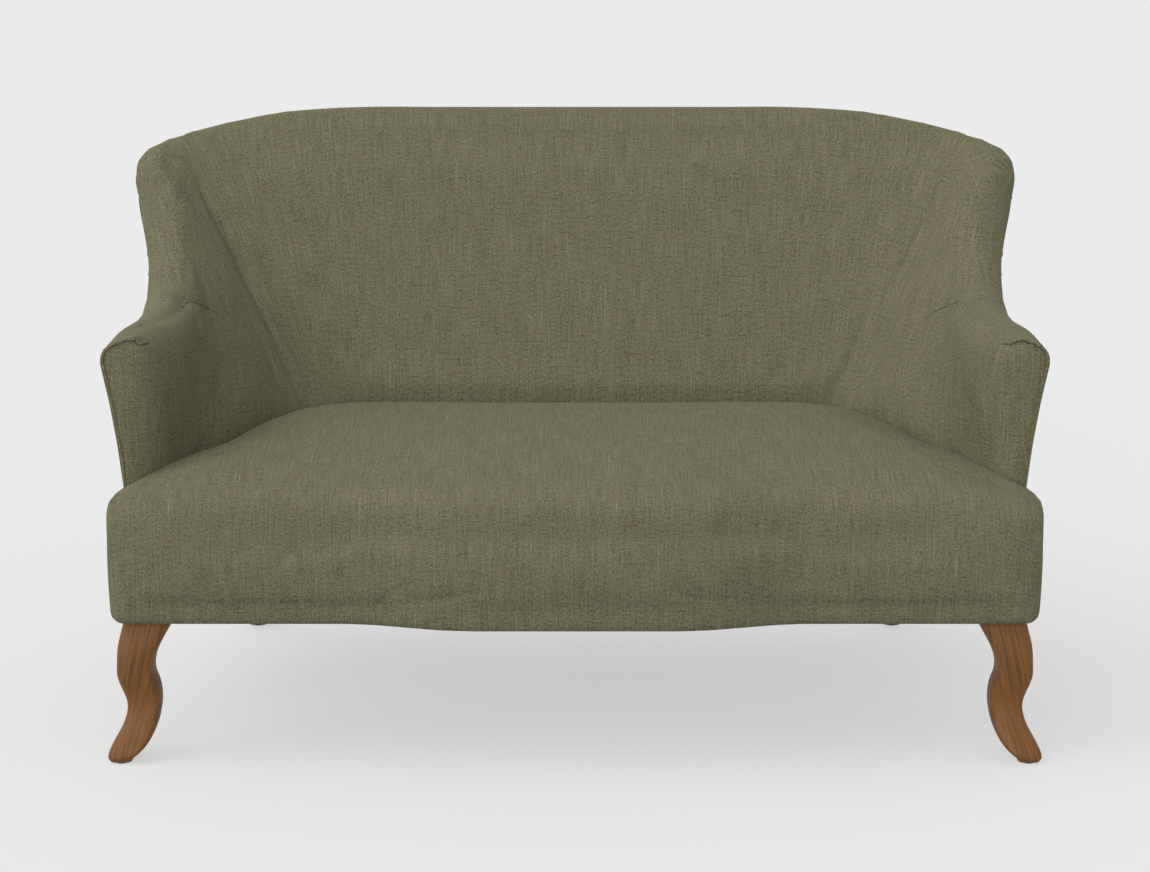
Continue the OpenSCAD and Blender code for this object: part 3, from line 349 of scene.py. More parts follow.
def sawn_beech():
    """Kiln-dried beech, planed and left bare, pale pink brown with short dark flecks."""
    made, tree = new_material("sawn_beech")
    where = node(tree, "ShaderNodeTexCoord").outputs["Object"]
    rings = stretch(tree, streaks(tree, where, .09, .007, 2, 5), .3, .7)
    fleck = stretch(tree, streaks(tree, where, .006, .0012, 1, 9), .60, .72)
    wood = blended(tree, rings, linear("#b98f63"), linear("#cfa87c"))
    wood = blended(tree, total(tree, (fleck, .5)), wood, linear("#8a6038"))
    bump = node(tree, "ShaderNodeBump", {"Height": rings, "Strength": .2, "Distance": .0003})
    shader = node(tree, "ShaderNodeBsdfPrincipled", {
        "Base Color": wood, "Normal": bump.outputs[0], "Roughness": .72, "IOR": 1.5})
    finish_material(tree, shader)
    return made


def steel(name, code, dull, roughness):
    """Drawn or pressed steel with its finish, even grey with faint cloudy dulling."""
    made, tree = new_material(name)
    where = node(tree, "ShaderNodeTexCoord").outputs["Object"]
    cloud = stretch(tree, streaks(tree, where, .006, .006, 3, 5), .3, .7)
    grain = stretch(tree, streaks(tree, where, .0008, .004, 1, 9), .3, .7)
    metal = blended(tree, cloud, linear(dull), linear(code))
    bump = node(tree, "ShaderNodeBump", {"Height": grain, "Strength": .1, "Distance": .0002})
    shader = node(tree, "ShaderNodeBsdfPrincipled", {
        "Base Color": metal, "Normal": bump.outputs[0], "Metallic": 1.0,
        "Roughness": stretch(tree, cloud, 0, 1, roughness + .12, roughness)})
    finish_material(tree, shader)
    return made


def open_weave(name, light, dark, thread):
    """Plain woven cloth of one yarn, whose threads cross at the given spacing."""
    made, tree = new_material(name)
    where = node(tree, "ShaderNodeTexCoord").outputs["Object"]
    across = stretch(tree, streaks(tree, where, thread, thread * 14, 1, 3), .3, .7)
    along = stretch(tree, streaks(tree, where, thread * 14, thread, 1, 7), .3, .7)
    shade = total(tree, (across, .5), (along, .5))
    cloth = blended(tree, shade, linear(dark), linear(light))
    bump = node(tree, "ShaderNodeBump", {"Height": shade, "Strength": .4, "Distance": .0005})
    shader = node(tree, "ShaderNodeBsdfPrincipled", {
        "Base Color": cloth, "Normal": bump.outputs[0], "Roughness": .9,
        "Specular IOR Level": .2})
    finish_material(tree, shader)
    return made


def moulded_nylon():
    """Injection moulded nylon, dark grey with the faint grain of the mould."""
    made, tree = new_material("moulded_nylon")
    where = node(tree, "ShaderNodeTexCoord").outputs["Object"]
    grain = stretch(tree, streaks(tree, where, .0006, .0006, 2, 3), .3, .7)
    colour = blended(tree, grain, linear("#26262a"), linear("#303034"))
    bump = node(tree, "ShaderNodeBump", {"Height": grain, "Strength": .15, "Distance": .0002})
    shader = node(tree, "ShaderNodeBsdfPrincipled", {
        "Base Color": colour, "Normal": bump.outputs[0], "Roughness": .5, "IOR": 1.53})
    finish_material(tree, shader)
    return made


def studio_floor(settings):
    """Matt paper sweep, near white, that keeps a soft shadow under the settee."""
    made, tree = new_material("studio_floor")
    where = node(tree, "ShaderNodeTexCoord").outputs["Object"]
    cloud = stretch(tree, streaks(tree, where, .004, .004, 2, 3), .3, .7, .985, 1.015)
    grey = (settings.paper,) * 3
    paper = node(tree, "ShaderNodeVectorMath", {0: grey, "Scale": cloud},
                 operation="SCALE").outputs[0]
    matt = node(tree, "ShaderNodeBsdfDiffuse", {"Color": paper})
    ray = node(tree, "ShaderNodeLightPath")
    seen = node(tree, "ShaderNodeMath", {
        0: ray.outputs["Is Camera Ray"], 1: ray.outputs["Is Glossy Ray"]},
        operation="MAXIMUM").outputs[0]
    level = settings.sky + sum(getattr(settings, name) / math.pi * math.sin(math.radians(rise))
                               for name, rise, turn in LAMPS)
    pale = tuple(c - settings.paper * level for c in settings.floor[:3]) + (1,)
    glow = node(tree, "ShaderNodeEmission", {"Color": pale, "Strength": seen})
    shader = node(tree, "ShaderNodeAddShader", {0: matt.outputs[0], 1: glow.outputs[0]})
    finish_material(tree, shader)
    return made


def only(piece):
    """Selects this piece alone and makes it active."""
    bpy.ops.object.select_all(action="DESELECT")
    piece.select_set(True)
    bpy.context.view_layer.objects.active = piece


def copied(names, name):
    """One new object from copies of CAD nodes, each merged from its loose triangles."""
    made = []
    for n in names:
        copy = bpy.data.objects.new(n + "_copy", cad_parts[n].data.copy())
        bpy.context.scene.collection.objects.link(copy)
        only(copy)
        bpy.ops.object.mode_set(mode="EDIT")
        bpy.ops.mesh.select_all(action="SELECT")
        bpy.ops.mesh.remove_doubles(threshold=.00001)
        bpy.ops.object.mode_set(mode="OBJECT")
        made.append(copy)
    for copy in made:
        copy.select_set(True)
    if len(made) > 1:
        bpy.ops.object.join()
    piece = bpy.context.view_layer.objects.active
    piece.name = piece.data.name = name
    piece.data.materials.clear()
    piece.data.attributes.active_color = None
    return piece


def apply_modifier(piece, kind, **settings):
    """Adds a modifier with its settings and applies it."""
    only(piece)
    made = piece.modifiers.new(kind.lower(), kind)
    for name, value in settings.items():
        setattr(made, name, value)
    bpy.ops.object.modifier_apply(modifier=made.name)


def crease_sharp_edges(angle, crease):
    """In edit mode, keeps the edges sharper than the angle crisp under subdivision."""
    bpy.ops.mesh.select_all(action="DESELECT")
    bpy.ops.mesh.edges_select_sharp(sharpness=math.radians(angle))
    bpy.ops.transform.edge_crease(value=crease)


def points_of(piece):
    """The places of a piece's points as an array."""
    places = np.empty(len(piece.data.vertices) * 3)
    piece.data.vertices.foreach_get("co", places)
    return places.reshape(-1, 3)


def put_points(piece, places):
    """Moves a piece's points to these places."""
    piece.data.vertices.foreach_set("co", places.ravel())
    piece.data.update()


def normals_of(piece):
    """The directions in which a piece's points face."""
    facing = np.empty(len(piece.data.vertices) * 3)
    piece.data.vertices.foreach_get("normal", facing)
    return facing.reshape(-1, 3)


def eased(value, low, high):
    """0 below low, 1 above high and a soft step between."""
    t = np.clip((value - low) / (high - low), 0, 1)
    return t * t * (3 - 2 * t)


def curve_through(table, count):
    """Evenly spaced stations on the smooth curve through a table's rows."""
    rows = np.array(table)
    at = np.linspace(0, len(rows) - 1, count)
    i = np.minimum(at.astype(int), len(rows) - 2)
    t = (at - i)[:, None]
    padded = np.vstack([2 * rows[0] - rows[1], rows, 2 * rows[-1] - rows[-2]])
    a, b, c, d = padded[i], padded[i + 1], padded[i + 2], padded[i + 3]
    return b + t * ((c - a) + t * ((2 * a - 5 * b + 4 * c - d)
                                   + t * (3 * b - a - 3 * c + d))) / 2


def fine_stations(table):
    """A table's stations with the finer steps between them."""
    return curve_through(table, (STATIONS - 1) * FINE_STEPS + 1)


def on_the_wall(places, foot, foot_height):
    """Where each point lies on the upholstered wall: how far round and how far up it is,
    in metres of cloth, its station from 0 to 14, its share of the height, and the way
    out of the wall there."""
    foot, roll = fine_stations(foot), fine_stations(ROLL_LINE)
    # The arm's last station runs straight on to its front
    ahead = np.linspace(.004, .16, 40)[:, None]
    foot = np.vstack([foot, foot[-1] + ahead * (0, -1)])
    roll = np.vstack([roll, roll[-1] + ahead * (0, -1, 0)])
    middle = (foot + roll[:, :2]) / 2
    steps = np.linalg.norm(np.diff(middle, axis=0), axis=1)
    run = np.concatenate([[0], np.cumsum(steps)])
    way = np.gradient(middle, axis=0)
    way /= np.linalg.norm(way, axis=1, keepdims=True)
    out = np.stack([-way[:, 1], way[:, 0]], axis=1)
    out[0] = (0, 1)
    x, y, z = np.abs(places[:, 0]), places[:, 1], places[:, 2]
    best, best_top = np.full(len(x), 1e9), np.full(len(x), 1e9)
    found, top = np.zeros(len(x), dtype=int), np.zeros(len(x), dtype=int)
    for k in range(len(run)):
        up = np.clip((z - foot_height) / (roll[k, 2] - foot_height), 0, 1)
        gap = np.hypot(x - foot[k, 0] - up * (roll[k, 0] - foot[k, 0]),
                       y - foot[k, 1] - up * (roll[k, 1] - foot[k, 1]))
        near = gap < best
        found[near] = k
        best[near] = gap[near]
        gap = np.hypot(x - roll[k, 0], y - roll[k, 1])
        near = gap < best_top
        top[near] = k
        best_top[near] = gap[near]
    tall = np.hypot(roll[:, 2] - foot_height, np.linalg.norm(roll[:, :2] - foot, axis=1))
    rise = roll[:, 2] - foot_height
    laid = []
    for k, kept in ((found, np.clip((z - foot_height) / rise[found], 0, 1)), (top, 1)):
        base = foot[k] + (roll[k, :2] - foot[k]) * np.reshape(kept, (-1, 1))
        beyond = (x - base[:, 0]) * out[k, 0] + (y - base[:, 1]) * out[k, 1]
        past = (x - base[:, 0]) * way[k, 0] + (y - base[:, 1]) * way[k, 1]
        laid.append((run[k] + past, (z - foot_height) * tall[k] / rise[k] + beyond))
    over = eased(beyond, -.05, -.005)
    across = (laid[0][0] * (1 - over) + laid[1][0] * over) * np.sign(places[:, 0])
    along = laid[0][1] * (1 - over) + laid[1][1] * over
    up = (z - foot_height) / rise[found]
    outward = out[found] * np.stack([np.where(places[:, 0] < 0, -1, 1),
                                     np.ones(len(x))], axis=1)
    return across, along, np.minimum(found / FINE_STEPS, STATIONS - 1), up, outward


def on_the_rim(places):
    """Where each point lies on the falling rim of a wing: round the roll and down along
    it, in metres of cloth, and how much of the rim there is, from 0 to 1."""
    first, last = (int(station * FINE_STEPS) for station in RIM_STATIONS)
    roll = fine_stations(ROLL_LINE)[first:last][::-1]
    length = np.concatenate([[0], np.cumsum(np.linalg.norm(np.diff(roll, axis=0), axis=1))])
    z = places[:, 2]
    beside = np.abs(places[:, 0]) - np.interp(z, roll[:, 2], roll[:, 0])
    behind = places[:, 1] - np.interp(z, roll[:, 2], roll[:, 1])
    turn = np.arctan2(beside, -behind)
    across = ROLL_RADIUS * np.where(np.abs(turn) < math.pi / 2, turn,
                                    np.sign(turn) * (math.pi / 2 + behind / ROLL_RADIUS))
    rim = (eased(turn, math.radians(-85), math.radians(-60)) * eased(z, .66, .70)
           * (1 - eased(z, .842, .858)))
    return across * np.sign(places[:, 0]), np.interp(z, roll[:, 2], length), rim


def weigh(piece, name, weights):
    """Gives a piece a vertex group that holds the weights in ten levels."""
    group = piece.vertex_groups.new(name=name)
    for level in range(1, 11):
        these = np.nonzero(np.round(weights * 10) == level)[0]
        group.add([int(i) for i in these], level / 10, "REPLACE")


def eased_over(piece, weights, rounds):
    """Smooths a piece where the weights say, for so many rounds."""
    weigh(piece, "eased", weights)
    apply_modifier(piece, "SMOOTH", factor=.5, iterations=rounds, vertex_group="eased")
    piece.vertex_groups.clear()


def fuller(places, facing, proud):
    """Where the cloth stands proud of the plain pads: a little all over, more along the
    top line, which also becomes one fair curve, at the upper corners of the wings, and
    at the sides of the arm fronts, where it closes against the outside panels. Under the
    wing corners it is drawn in."""
    places = places + facing * proud
    side = np.sign(places[:, 0])
    x, y, z = np.abs(places[:, 0]), places[:, 1], places[:, 2]
    fair = fine_stations(ROLL_LINE)[:7 * FINE_STEPS + 1]
    rows = np.array(ROLL_LINE)[:8]
    crest = np.interp(x, fair[:, 0], fair[:, 2])
    lift = CREST_LIFT + crest - np.interp(x, rows[:, 0], rows[:, 2])
    upper = eased(z, crest - .06, crest - .01) * (1 - eased(x, .69, .72)) * (y > .15)
    places[:, 2] += lift * upper
    places[:, 2] += np.interp(x, *np.array(CREST_TRIM).T) * eased(z, crest - .06, crest - .01)
    from_corner = np.hypot(x - WING_CORNER[0], z - WING_CORNER[1])
    corner = np.exp(-(from_corner / CORNER_REACH) ** 2) * eased(y, .19, .22)
    places[:, 0] += side * CORNER_PULL * corner
    places[:, 2] += .5 * CORNER_PULL * corner
    # The edge of the roll lies flush with the outside panel below the wing corner
    lip = (eased(z, .755, .785) * (1 - eased(z, .805, .83)) * eased(x, .725, .74)
           * eased(y, .12, .16))
    places[:, 0] -= side * LIP_TRIM * lip
    closing = (eased(-y, .225, .24) * eased(side * facing[:, 0], .1, .5)
               * eased(x, .66, .685) * (1 - eased(z, .59, .615)))
    places[:, 0] += side * SIDE_CLOSING * closing
    return places


def stuffed(piece, held, settings):
    """Draws a remeshed pad in a little and swells it again by cloth pressure. held says,
    from 0 to 1, how firmly each point is stitched or tacked down."""
    free = (1 - held)[:, None]
    start = points_of(piece) - normals_of(piece) * settings.slack * free
    put_points(piece, start)
    weigh(piece, "held", held)
    only(piece)
    cloth = piece.modifiers.new("stuffing", "CLOTH")
    cloth.settings.use_pressure = True
    cloth.settings.uniform_pressure_force = PRESSURE
    cloth.settings.effector_weights.gravity = 0
    cloth.settings.vertex_group_mass = "held"
    cloth.settings.quality = 3
    cloth.collision_settings.use_collision = False
    cloth.point_cache.frame_start = 1
    cloth.point_cache.frame_end = LAST_FRAME
    for step in range(1, LAST_FRAME + 1):
        bpy.context.scene.frame_set(step)
    bpy.ops.object.modifier_apply(modifier="stuffing")
    bpy.context.scene.frame_set(1)
    moved = points_of(piece) - start
    reach = np.linalg.norm(moved, axis=1, keepdims=True)
    most = settings.swell * np.sqrt(free)
    put_points(piece, start + moved * np.minimum(1, most / np.maximum(reach, 1e-9)))
    piece.vertex_groups.clear()


def lay_weave(piece, **maps):
    """Writes the cloth's own coordinates, in metres, as the piece's UV maps."""
    mesh = piece.data
    while mesh.uv_layers:
        mesh.uv_layers.remove(mesh.uv_layers[0])
    corners = np.empty(len(mesh.loops), dtype=np.int64)
    mesh.loops.foreach_get("vertex_index", corners)
    for name, (across, along) in maps.items():
        layer = mesh.uv_layers.new(name=name)
        flat = np.stack([across[corners], along[corners]], axis=1)
        layer.data.foreach_set("uv", flat.ravel())


def finished(piece, material):
    """Shades and dresses a piece, and hangs it on the frame."""
    only(piece)
    bpy.ops.object.shade_smooth()
    piece.data.materials.clear()
    piece.data.materials.append(material)
    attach(piece, "root")
    return piece


def material_named(name, maker, *args):
    """The material of this name, made when it is first asked for."""
    return bpy.data.materials.get(name) or maker(*args)


class SETTEE_OT_stage(bpy.types.Operator):
    """Set the camera, the pale floor and the soft studio light"""
    bl_idname = "settee.stage"
    bl_label = "Stage"

    def execute(self, context):
        settings = context.scene.settee_stage
        scene = context.scene
        scene.view_settings.view_transform = "Standard"
        lens = bpy.data.cameras.new("camera")
        lens.lens = settings.lens
        lens.sensor_width = 36
        camera = bpy.data.objects.new("camera", lens)
        camera.location = (0, -settings.distance, settings.height)
        camera.rotation_euler = (math.radians(90) - settings.pitch, 0, 0)
        scene.collection.objects.link(camera)
        scene.camera = camera

        bpy.ops.object.select_all(action="DESELECT")
        bpy.ops.mesh.primitive_plane_add(size=FLOOR_SIZE, location=(0, 0, 0))
        floor = context.active_object
        floor.name = "floor"
        bpy.ops.object.mode_set(mode="EDIT")
        bpy.ops.mesh.subdivide(number_cuts=4)
        bpy.ops.object.mode_set(mode="OBJECT")
        floor.data.materials.append(studio_floor(settings))

        world = bpy.data.worlds.new("studio")
        world.use_nodes = True
        world.node_tree.nodes.clear()
        light = node(world.node_tree, "ShaderNodeBackground", {
            "Color": (1, 1, 1, 1), "Strength": settings.sky})
        pale = node(world.node_tree, "ShaderNodeBackground", {
            "Color": settings.floor, "Strength": 1.0})
        ray = node(world.node_tree, "ShaderNodeLightPath")
        seen = node(world.node_tree, "ShaderNodeMath", {
            0: ray.outputs["Is Camera Ray"], 1: ray.outputs["Is Glossy Ray"]},
            operation="MAXIMUM")
        seen = node(world.node_tree, "ShaderNodeMath", {
            0: seen.outputs[0], 1: ray.outputs["Is Transmission Ray"]}, operation="MAXIMUM")
        both = node(world.node_tree, "ShaderNodeMixShader", {
            0: seen.outputs[0], 1: light.outputs[0], 2: pale.outputs[0]})
        node(world.node_tree, "ShaderNodeOutputWorld", {"Surface": both.outputs[0]})
        scene.world = world

        for name, rise, turn in LAMPS:
            lamp = bpy.data.lights.new(name, "SUN")
            lamp.energy = getattr(settings, name)
            lamp.angle = LAMP_SPREAD
            light = bpy.data.objects.new(name, lamp)
            light.rotation_euler = (math.radians(90 - rise), 0, math.radians(turn))
            scene.collection.objects.link(light)
        return {"FINISHED"}


class SETTEE_OT_inside_cover(bpy.types.Operator):
    """Make the one smooth cover of the back, wings and arms, with its stuffing"""
    bl_idname = "settee.inside_cover"
    bl_label = "Inside cover"

    def execute(self, context):
        settings = context.scene.settee_upholstery
        piece = copied(INSIDE_NODES, "inside_cover")
        apply_modifier(piece, "REMESH", mode="VOXEL", voxel_size=settings.cover_voxel)
        apply_modifier(piece, "SMOOTH", factor=.5, iterations=2)
        places, facing = points_of(piece), normals_of(piece)
        across, along, station, up, outward = on_the_wall(places, INSIDE_FOOT, SEAT_LINE)
        inward = -(facing[:, :2] * outward).sum(axis=1)
        # The cloth bridges the hollow beside the roll, on the wings most of all, and
        # rounds broadly from the inside of the arm to its front
        soft = eased(inward, -.1, .5) * (.25 + .75 * eased(station, 3, 5.5))
        nose = (eased(-places[:, 1], .10, .18) * eased(-facing[:, 1] + inward, .2, .6)
                * (1 - .75 * eased(np.abs(places[:, 0]), ARM_SIDE - .03, ARM_SIDE - .01)))
        eased_over(piece, np.maximum(soft, nose), 60)
        put_points(piece, fuller(points_of(piece), normals_of(piece), settings.proud))
        places, facing = points_of(piece), normals_of(piece)
        inward = -(facing[:, :2] * outward).sum(axis=1)
        low = eased(SEAT_LINE - .03 - places[:, 2], 0, .03)
        front = eased(-facing[:, 1], .6, .9) * eased(-places[:, 1], .2, .24)
        free = np.maximum(eased(inward, .15, .6) * (1 - low), front)
        stuffed(piece, 1 - free, settings)
        dented(piece, ARM_FOLD[:8] - (0, 0, .004), .0025, .006)
        for line, depth, reach in zip(WING_FOLDS, (.0045, .002), (.014, .007)):
            dented(piece, line, depth, reach)

        places, facing = points_of(piece), normals_of(piece)
        across, along, station, up, outward = on_the_wall(places, INSIDE_FOOT, SEAT_LINE)
        face = (-facing[:, 1] > np.abs(facing[:, 0])) & (places[:, 1] < ARM_FACE + .045)
        reach = np.abs(across[station >= STATIONS - 1]).min()
        ahead = reach - ARM_FACE + INSIDE_FOOT[-1][1] + np.abs(places[:, 0]) - ARM_MIDDLE
        across[face] = (ahead * np.sign(places[:, 0]))[face]
        along[face] = places[face, 2] - SEAT_LINE
        round_rim, along_rim, rim = on_the_rim(places)
        lay_weave(piece, weave=(across, along), weave_rim=(round_rim, along_rim))
        piece.data.attributes.new("rim", "FLOAT", "POINT").data.foreach_set("value", rim)
        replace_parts(finished(piece, material_named("slub_linen", slub_linen, settings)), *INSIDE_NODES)
        return {"FINISHED"}


class SETTEE_OT_seat(bpy.types.Operator):
    """Make the crowned T-shaped seat with its bowed front border"""
    bl_idname = "settee.seat"
    bl_label = "Seat"

    def execute(self, context):
        settings = context.scene.settee_upholstery
        piece = copied(("seat_pad",), "seat")
        apply_modifier(piece, "REMESH", mode="VOXEL", voxel_size=settings.seat_voxel)
        apply_modifier(piece, "SMOOTH", factor=.5, iterations=2)
        places, facing = points_of(piece), normals_of(piece)
        places += facing * settings.proud
        corner = (eased(np.abs(facing[:, 0]), .2, .6) * eased(places[:, 2], .36, .41)
                  * eased(-places[:, 1], .20, .28))
        places[:, 0] += np.sign(places[:, 0]) * EAR_PULL * corner
        # The seat dips beside the arms, just behind the turn into the ears
        reach = np.hypot(np.abs(places[:, 0]) - SEAT_DIP[0], places[:, 1] - SEAT_DIP[1])
        places[:, 2] -= (SEAT_DIP[2] * np.exp(-(reach / SEAT_DIP[3]) ** 2)
                         * eased(places[:, 2], SEAT_LINE - .05, SEAT_LINE - .02))
        places[:, 2] -= BORDER_DROP * (1 - eased(places[:, 2], FRAME_FOOT, FRAME_FOOT + .04))
        put_points(piece, places)
        top = (eased(facing[:, 2], .1, .5)
               * eased(places[:, 2], SEAT_LINE - .06, SEAT_LINE - .03))
        front = (eased(-facing[:, 1], .2, .6)
                 * eased(places[:, 2], FRAME_FOOT + .004, FRAME_FOOT + .05))
        eased_over(piece, np.maximum(top, front) * .6, 12)
        stuffed(piece, 1 - np.maximum(top, front), settings)
        places, facing = points_of(piece), normals_of(piece)
        side = eased(np.abs(facing[:, 0]), .6, .8) * np.sign(places[:, 0])
        lay_weave(piece, weave=(places[:, 0] + side * (places[:, 1] + EAR_FRONT),
                                places[:, 2] + places[:, 1] * (1 - np.abs(side))))
        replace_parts(finished(piece, material_named("slub_linen", slub_linen, settings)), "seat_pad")
        return {"FINISHED"}


def dented(piece, line, depth, reach):
    """Presses a soft valley into a piece along a line on both sides of the settee."""
    places, facing = points_of(piece), normals_of(piece)
    line = curve_through(line, 60)
    gap = np.full(len(places), 1e9)
    folded = places * np.where(places[:, :1] < 0, (-1, 1, 1), (1, 1, 1))
    for point in line:
        gap = np.minimum(gap, np.linalg.norm(folded - point, axis=1))
    put_points(piece, places - facing * (depth * np.exp(-(gap / reach) ** 2))[:, None])


def corded(name, line, radius, side, sunk, carrier):
    """A thin cord, of folded cloth or a dark line of painted shade, that lies along a line on its
    carrier and thins out at its ends, on one side of the settee."""
    bpy.ops.object.select_all(action="DESELECT")
    bpy.ops.curve.primitive_nurbs_path_add()
    piece = bpy.context.active_object
    piece.name = piece.data.name = name
    piece.location = (0, 0, 0)
    path = piece.data
    path.splines.clear()
    points = curve_through(line, CORD_POINTS) * (side, 1, 1)
    spline = path.splines.new("POLY")
    spline.points.add(len(points) - 1)
    for k, point in enumerate(points):
        found, near, facing, face = carrier.closest_point_on_mesh(Vector(point))
        if not found:
            raise RuntimeError(name + " has nothing to lie on")
        near = near + facing * radius * (1 - sunk)
        spline.points[k].co = (*near, 1)
        from_end = min(k, len(points) - 1 - k)
        spline.points[k].radius = min(1, CORD_TIP + from_end / CORD_TAPER)
    path.dimensions = "3D"
    path.bevel_depth = radius
    path.bevel_resolution = 3
    path.use_fill_caps = True
    only(piece)
    bpy.ops.object.convert(target="MESH")
    return bpy.context.active_object


class SETTEE_OT_seams(bpy.types.Operator):
    """Make the folded seams over the arm fronts, the crease at the foot of each wing, and the dark cords
    of painted shade under the arm folds
    """
    bl_idname = "settee.seams"
    bl_label = "Seams"

    def execute(self, context):
        settings = context.scene.settee_upholstery
        linen = material_named("slub_linen", slub_linen, settings)
        # The dark cord's material is painted shade, in place of the shadow line under each arm fold
        thread = material_named("waxed_thread", waxed_thread)
        cover = bpy.data.objects["inside_cover"]
        for side, hand in ((-1, "left"), (1, "right")):
            for kind, line, radius, sunk, material in (
                    ("arm_fold", ARM_FOLD[:9], .0022, .55, linen),
                    ("arm_welt", ARM_FOLD[7:], .0016, .8, linen),
                    ("wing_crease", WING_FOLDS[1][1:], .0011, .6, linen),
                    # The last cord is painted shade, a dark line in place of the shadow under the arm
                    # fold
                    ("arm_fold_stitch", ARM_FOLD[:8] - (0, 0, .0028), .0008, .9, thread)):
                piece = corded(kind + "_" + hand, line, radius, side, sunk, cover)
                places = points_of(piece)
                lay_weave(piece, weave=(places[:, 0] + places[:, 1], places[:, 2]))
                finished(piece, material)
        return {"FINISHED"}


class SETTEE_OT_outside_panels(bpy.types.Operator):
    """Make the stretched panels over the outside of the back and arms"""
    bl_idname = "settee.outside_panels"
    bl_label = "Outside panels"

    def execute(self, context):
        settings = context.scene.settee_upholstery
        for name in OUTSIDE_NODES:
            piece = copied((name,), name + "_cover")
            bpy.ops.object.mode_set(mode="EDIT")
            bpy.ops.mesh.select_all(action="SELECT")
            bpy.ops.mesh.tris_convert_to_quads()
            crease_sharp_edges(50, .9)
            bpy.ops.object.mode_set(mode="OBJECT")
            apply_modifier(piece, "SUBSURF", levels=3, render_levels=3)
            places = points_of(piece)
            across, along, station, up, outward = on_the_wall(places, OUTSIDE_FOOT, FRAME_FOOT)
            # The top edge is tucked in and up under the roll
            tucked = eased(up, .93, .98) * (1 - eased(station, 9.5, 11))
            places[:, :2] -= outward * (PANEL_TUCK / 5 * tucked)[:, None]
            places[:, 2] += PANEL_TUCK * tucked
            put_points(piece, places)
            lay_weave(piece, weave=(across, along))
            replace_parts(finished(piece, material_named("slub_linen", slub_linen, settings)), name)
        return {"FINISHED"}


def carved(piece):
    """Moves the outer and inner edges of a front leg to the carved line."""
    places = points_of(piece)
    x, z = np.abs(places[:, 0]), places[:, 2]
    inner, outer = np.empty(len(x)), np.empty(len(x))
    for height in np.unique(z.round(4)):
        ring = np.abs(z - height) < .0001
        inner[ring], outer[ring] = x[ring].min(), x[ring].max()
    out = np.clip((x - inner) / np.maximum(outer - inner, 1e-6), 0, 1)
    heights, outer_moves, inner_moves = np.array(LEG_LINE).T
    move = (out * np.interp(z, heights, outer_moves)
            + (1 - out) * np.interp(z, heights, inner_moves))
    places[:, 0] += np.sign(places[:, 0]) * move
    put_points(piece, places)


class SETTEE_OT_legs(bpy.types.Operator):
    """Make the carved cabriole front legs and the raked rear legs"""
    bl_idname = "settee.legs"
    bl_label = "Legs"

    def execute(self, context):
        settings = context.scene.settee_legs
        for name in ("front_leg_left", "front_leg_right", "rear_leg_left", "rear_leg_right"):
            piece = copied((name,), name + "_oak")
            bpy.ops.object.mode_set(mode="EDIT")
            bpy.ops.mesh.select_all(action="SELECT")
            bpy.ops.mesh.tris_convert_to_quads()
            crease_sharp_edges(28, .8)
            bpy.ops.object.mode_set(mode="OBJECT")
            if name.startswith("front"):
                carved(piece)
            apply_modifier(piece, "SUBSURF", levels=2, render_levels=2)
            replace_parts(finished(piece, material_named("stained_oak", stained_oak, settings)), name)
        return {"FINISHED"}


class SETTEE_OT_under_cloths(bpy.types.Operator):
    """Make the burlap over the springs, the back webbing and the dust cover below"""
    bl_idname = "settee.under_cloths"
    bl_label = "Under cloths"

    def execute(self, context):
        jute = open_weave("jute_burlap", "#a98f62", "#6f5a38", .0022)
        strap = open_weave("jute_webbing", "#b09768", "#6d5632", .003)
        cambric = open_weave("black_cambric", "#2b2b2d", "#161617", .0012)
        for name, material, slot, carriers in (
                ("seat_burlap", jute, "burlap",
                 ("front_seat_rail", "rear_seat_rail", "side_seat_rail_left",
                  "side_seat_rail_right")),
                ("dust_cover", cambric, "cambric", ("front_seat_rail", "rear_seat_rail"))):
            piece = copied((name,), name + "_cloth")
            piece.data.calc_loop_triangles()
            finished(piece, material)
            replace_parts(piece, name)
        piece = copied(("back_webbing",), "back_webbing_straps")
        bpy.ops.object.mode_set(mode="EDIT")
        bpy.ops.mesh.select_all(action="SELECT")
        bpy.ops.mesh.tris_convert_to_quads()
        bpy.ops.mesh.bevel(offset=.0004, segments=2)
        bpy.ops.object.mode_set(mode="OBJECT")
        finished(piece, strap)
        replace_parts(piece, "back_webbing")
        return {"FINISHED"}


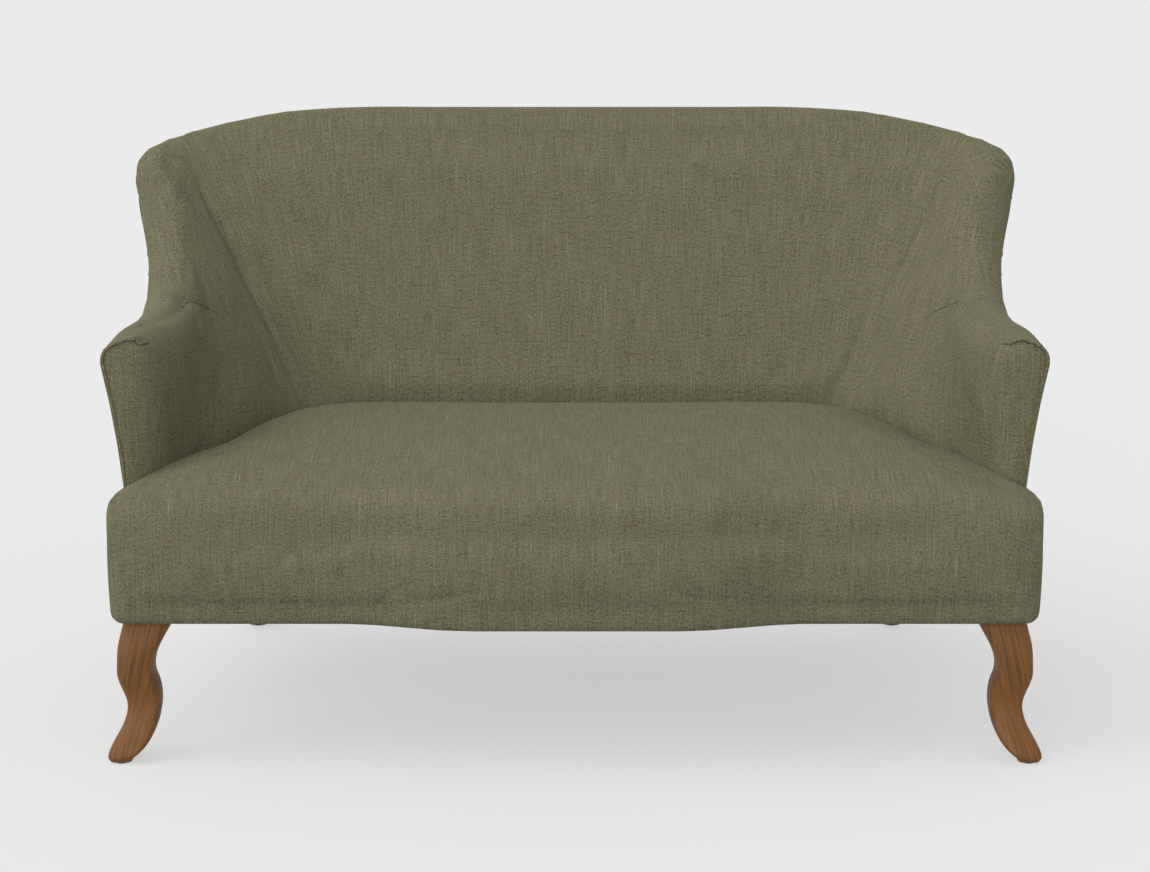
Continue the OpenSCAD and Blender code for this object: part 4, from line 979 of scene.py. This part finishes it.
class SETTEE_OT_frame_finishes(bpy.types.Operator):
    """Give the beech frame, the springs, the fixings and the glides their finishes"""
    bl_idname = "settee.frame_finishes"
    bl_label = "Frame finishes"

    def execute(self, context):
        beech = sawn_beech()
        bright = steel("zinc_plated_steel", "#b8bbbe", "#8d9196", .32)
        dark = steel("oiled_spring_steel", "#6e6f72", "#4a4a4d", .38)
        nylon = moulded_nylon()
        finishes = {name: beech for name in WOOD_NODES}
        finishes.update(leg_bolts=bright, leg_plates=bright, spring_clips=bright,
                        seat_springs=dark, foot_glides=nylon)
        for name, material in finishes.items():
            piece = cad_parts[name]
            for slot in piece.material_slots:
                slot.material = material
        return {"FINISHED"}


class SETTEE_PT_panel(bpy.types.Panel):
    """Lists what makes up the settee"""
    bl_idname = "SETTEE_PT_panel"
    bl_label = "High Back Settee"
    bl_space_type = "VIEW_3D"
    bl_region_type = "UI"
    bl_category = "Settee"

    def draw(self, context):
        for step in STEPS:
            self.layout.operator(step.bl_idname)
        for group in ("settee_upholstery", "settee_legs", "settee_stage"):
            settings = getattr(context.scene, group)
            box = self.layout.box()
            for name in settings.__annotations__:
                box.prop(settings, name)


STEPS = (SETTEE_OT_stage, SETTEE_OT_inside_cover, SETTEE_OT_seat, SETTEE_OT_outside_panels,
         SETTEE_OT_seams, SETTEE_OT_legs, SETTEE_OT_under_cloths, SETTEE_OT_frame_finishes)
GROUPS = (SetteeUpholstery, SetteeLegs, SetteeStage)


def register():
    for made in (*GROUPS, *STEPS, SETTEE_PT_panel):
        bpy.utils.register_class(made)
    bpy.types.Scene.settee_upholstery = bpy.props.PointerProperty(type=SetteeUpholstery)
    bpy.types.Scene.settee_legs = bpy.props.PointerProperty(type=SetteeLegs)
    bpy.types.Scene.settee_stage = bpy.props.PointerProperty(type=SetteeStage)


def unregister():
    del bpy.types.Scene.settee_upholstery
    del bpy.types.Scene.settee_legs
    del bpy.types.Scene.settee_stage
    for made in reversed((*GROUPS, *STEPS, SETTEE_PT_panel)):
        bpy.utils.unregister_class(made)


def main():
    register()
    bpy.ops.settee.stage()
    bpy.ops.settee.inside_cover()
    bpy.ops.settee.seat()
    bpy.ops.settee.outside_panels()
    bpy.ops.settee.seams()
    bpy.ops.settee.legs()
    bpy.ops.settee.under_cloths()
    bpy.ops.settee.frame_finishes()


if __name__ == "__main__":
    main()
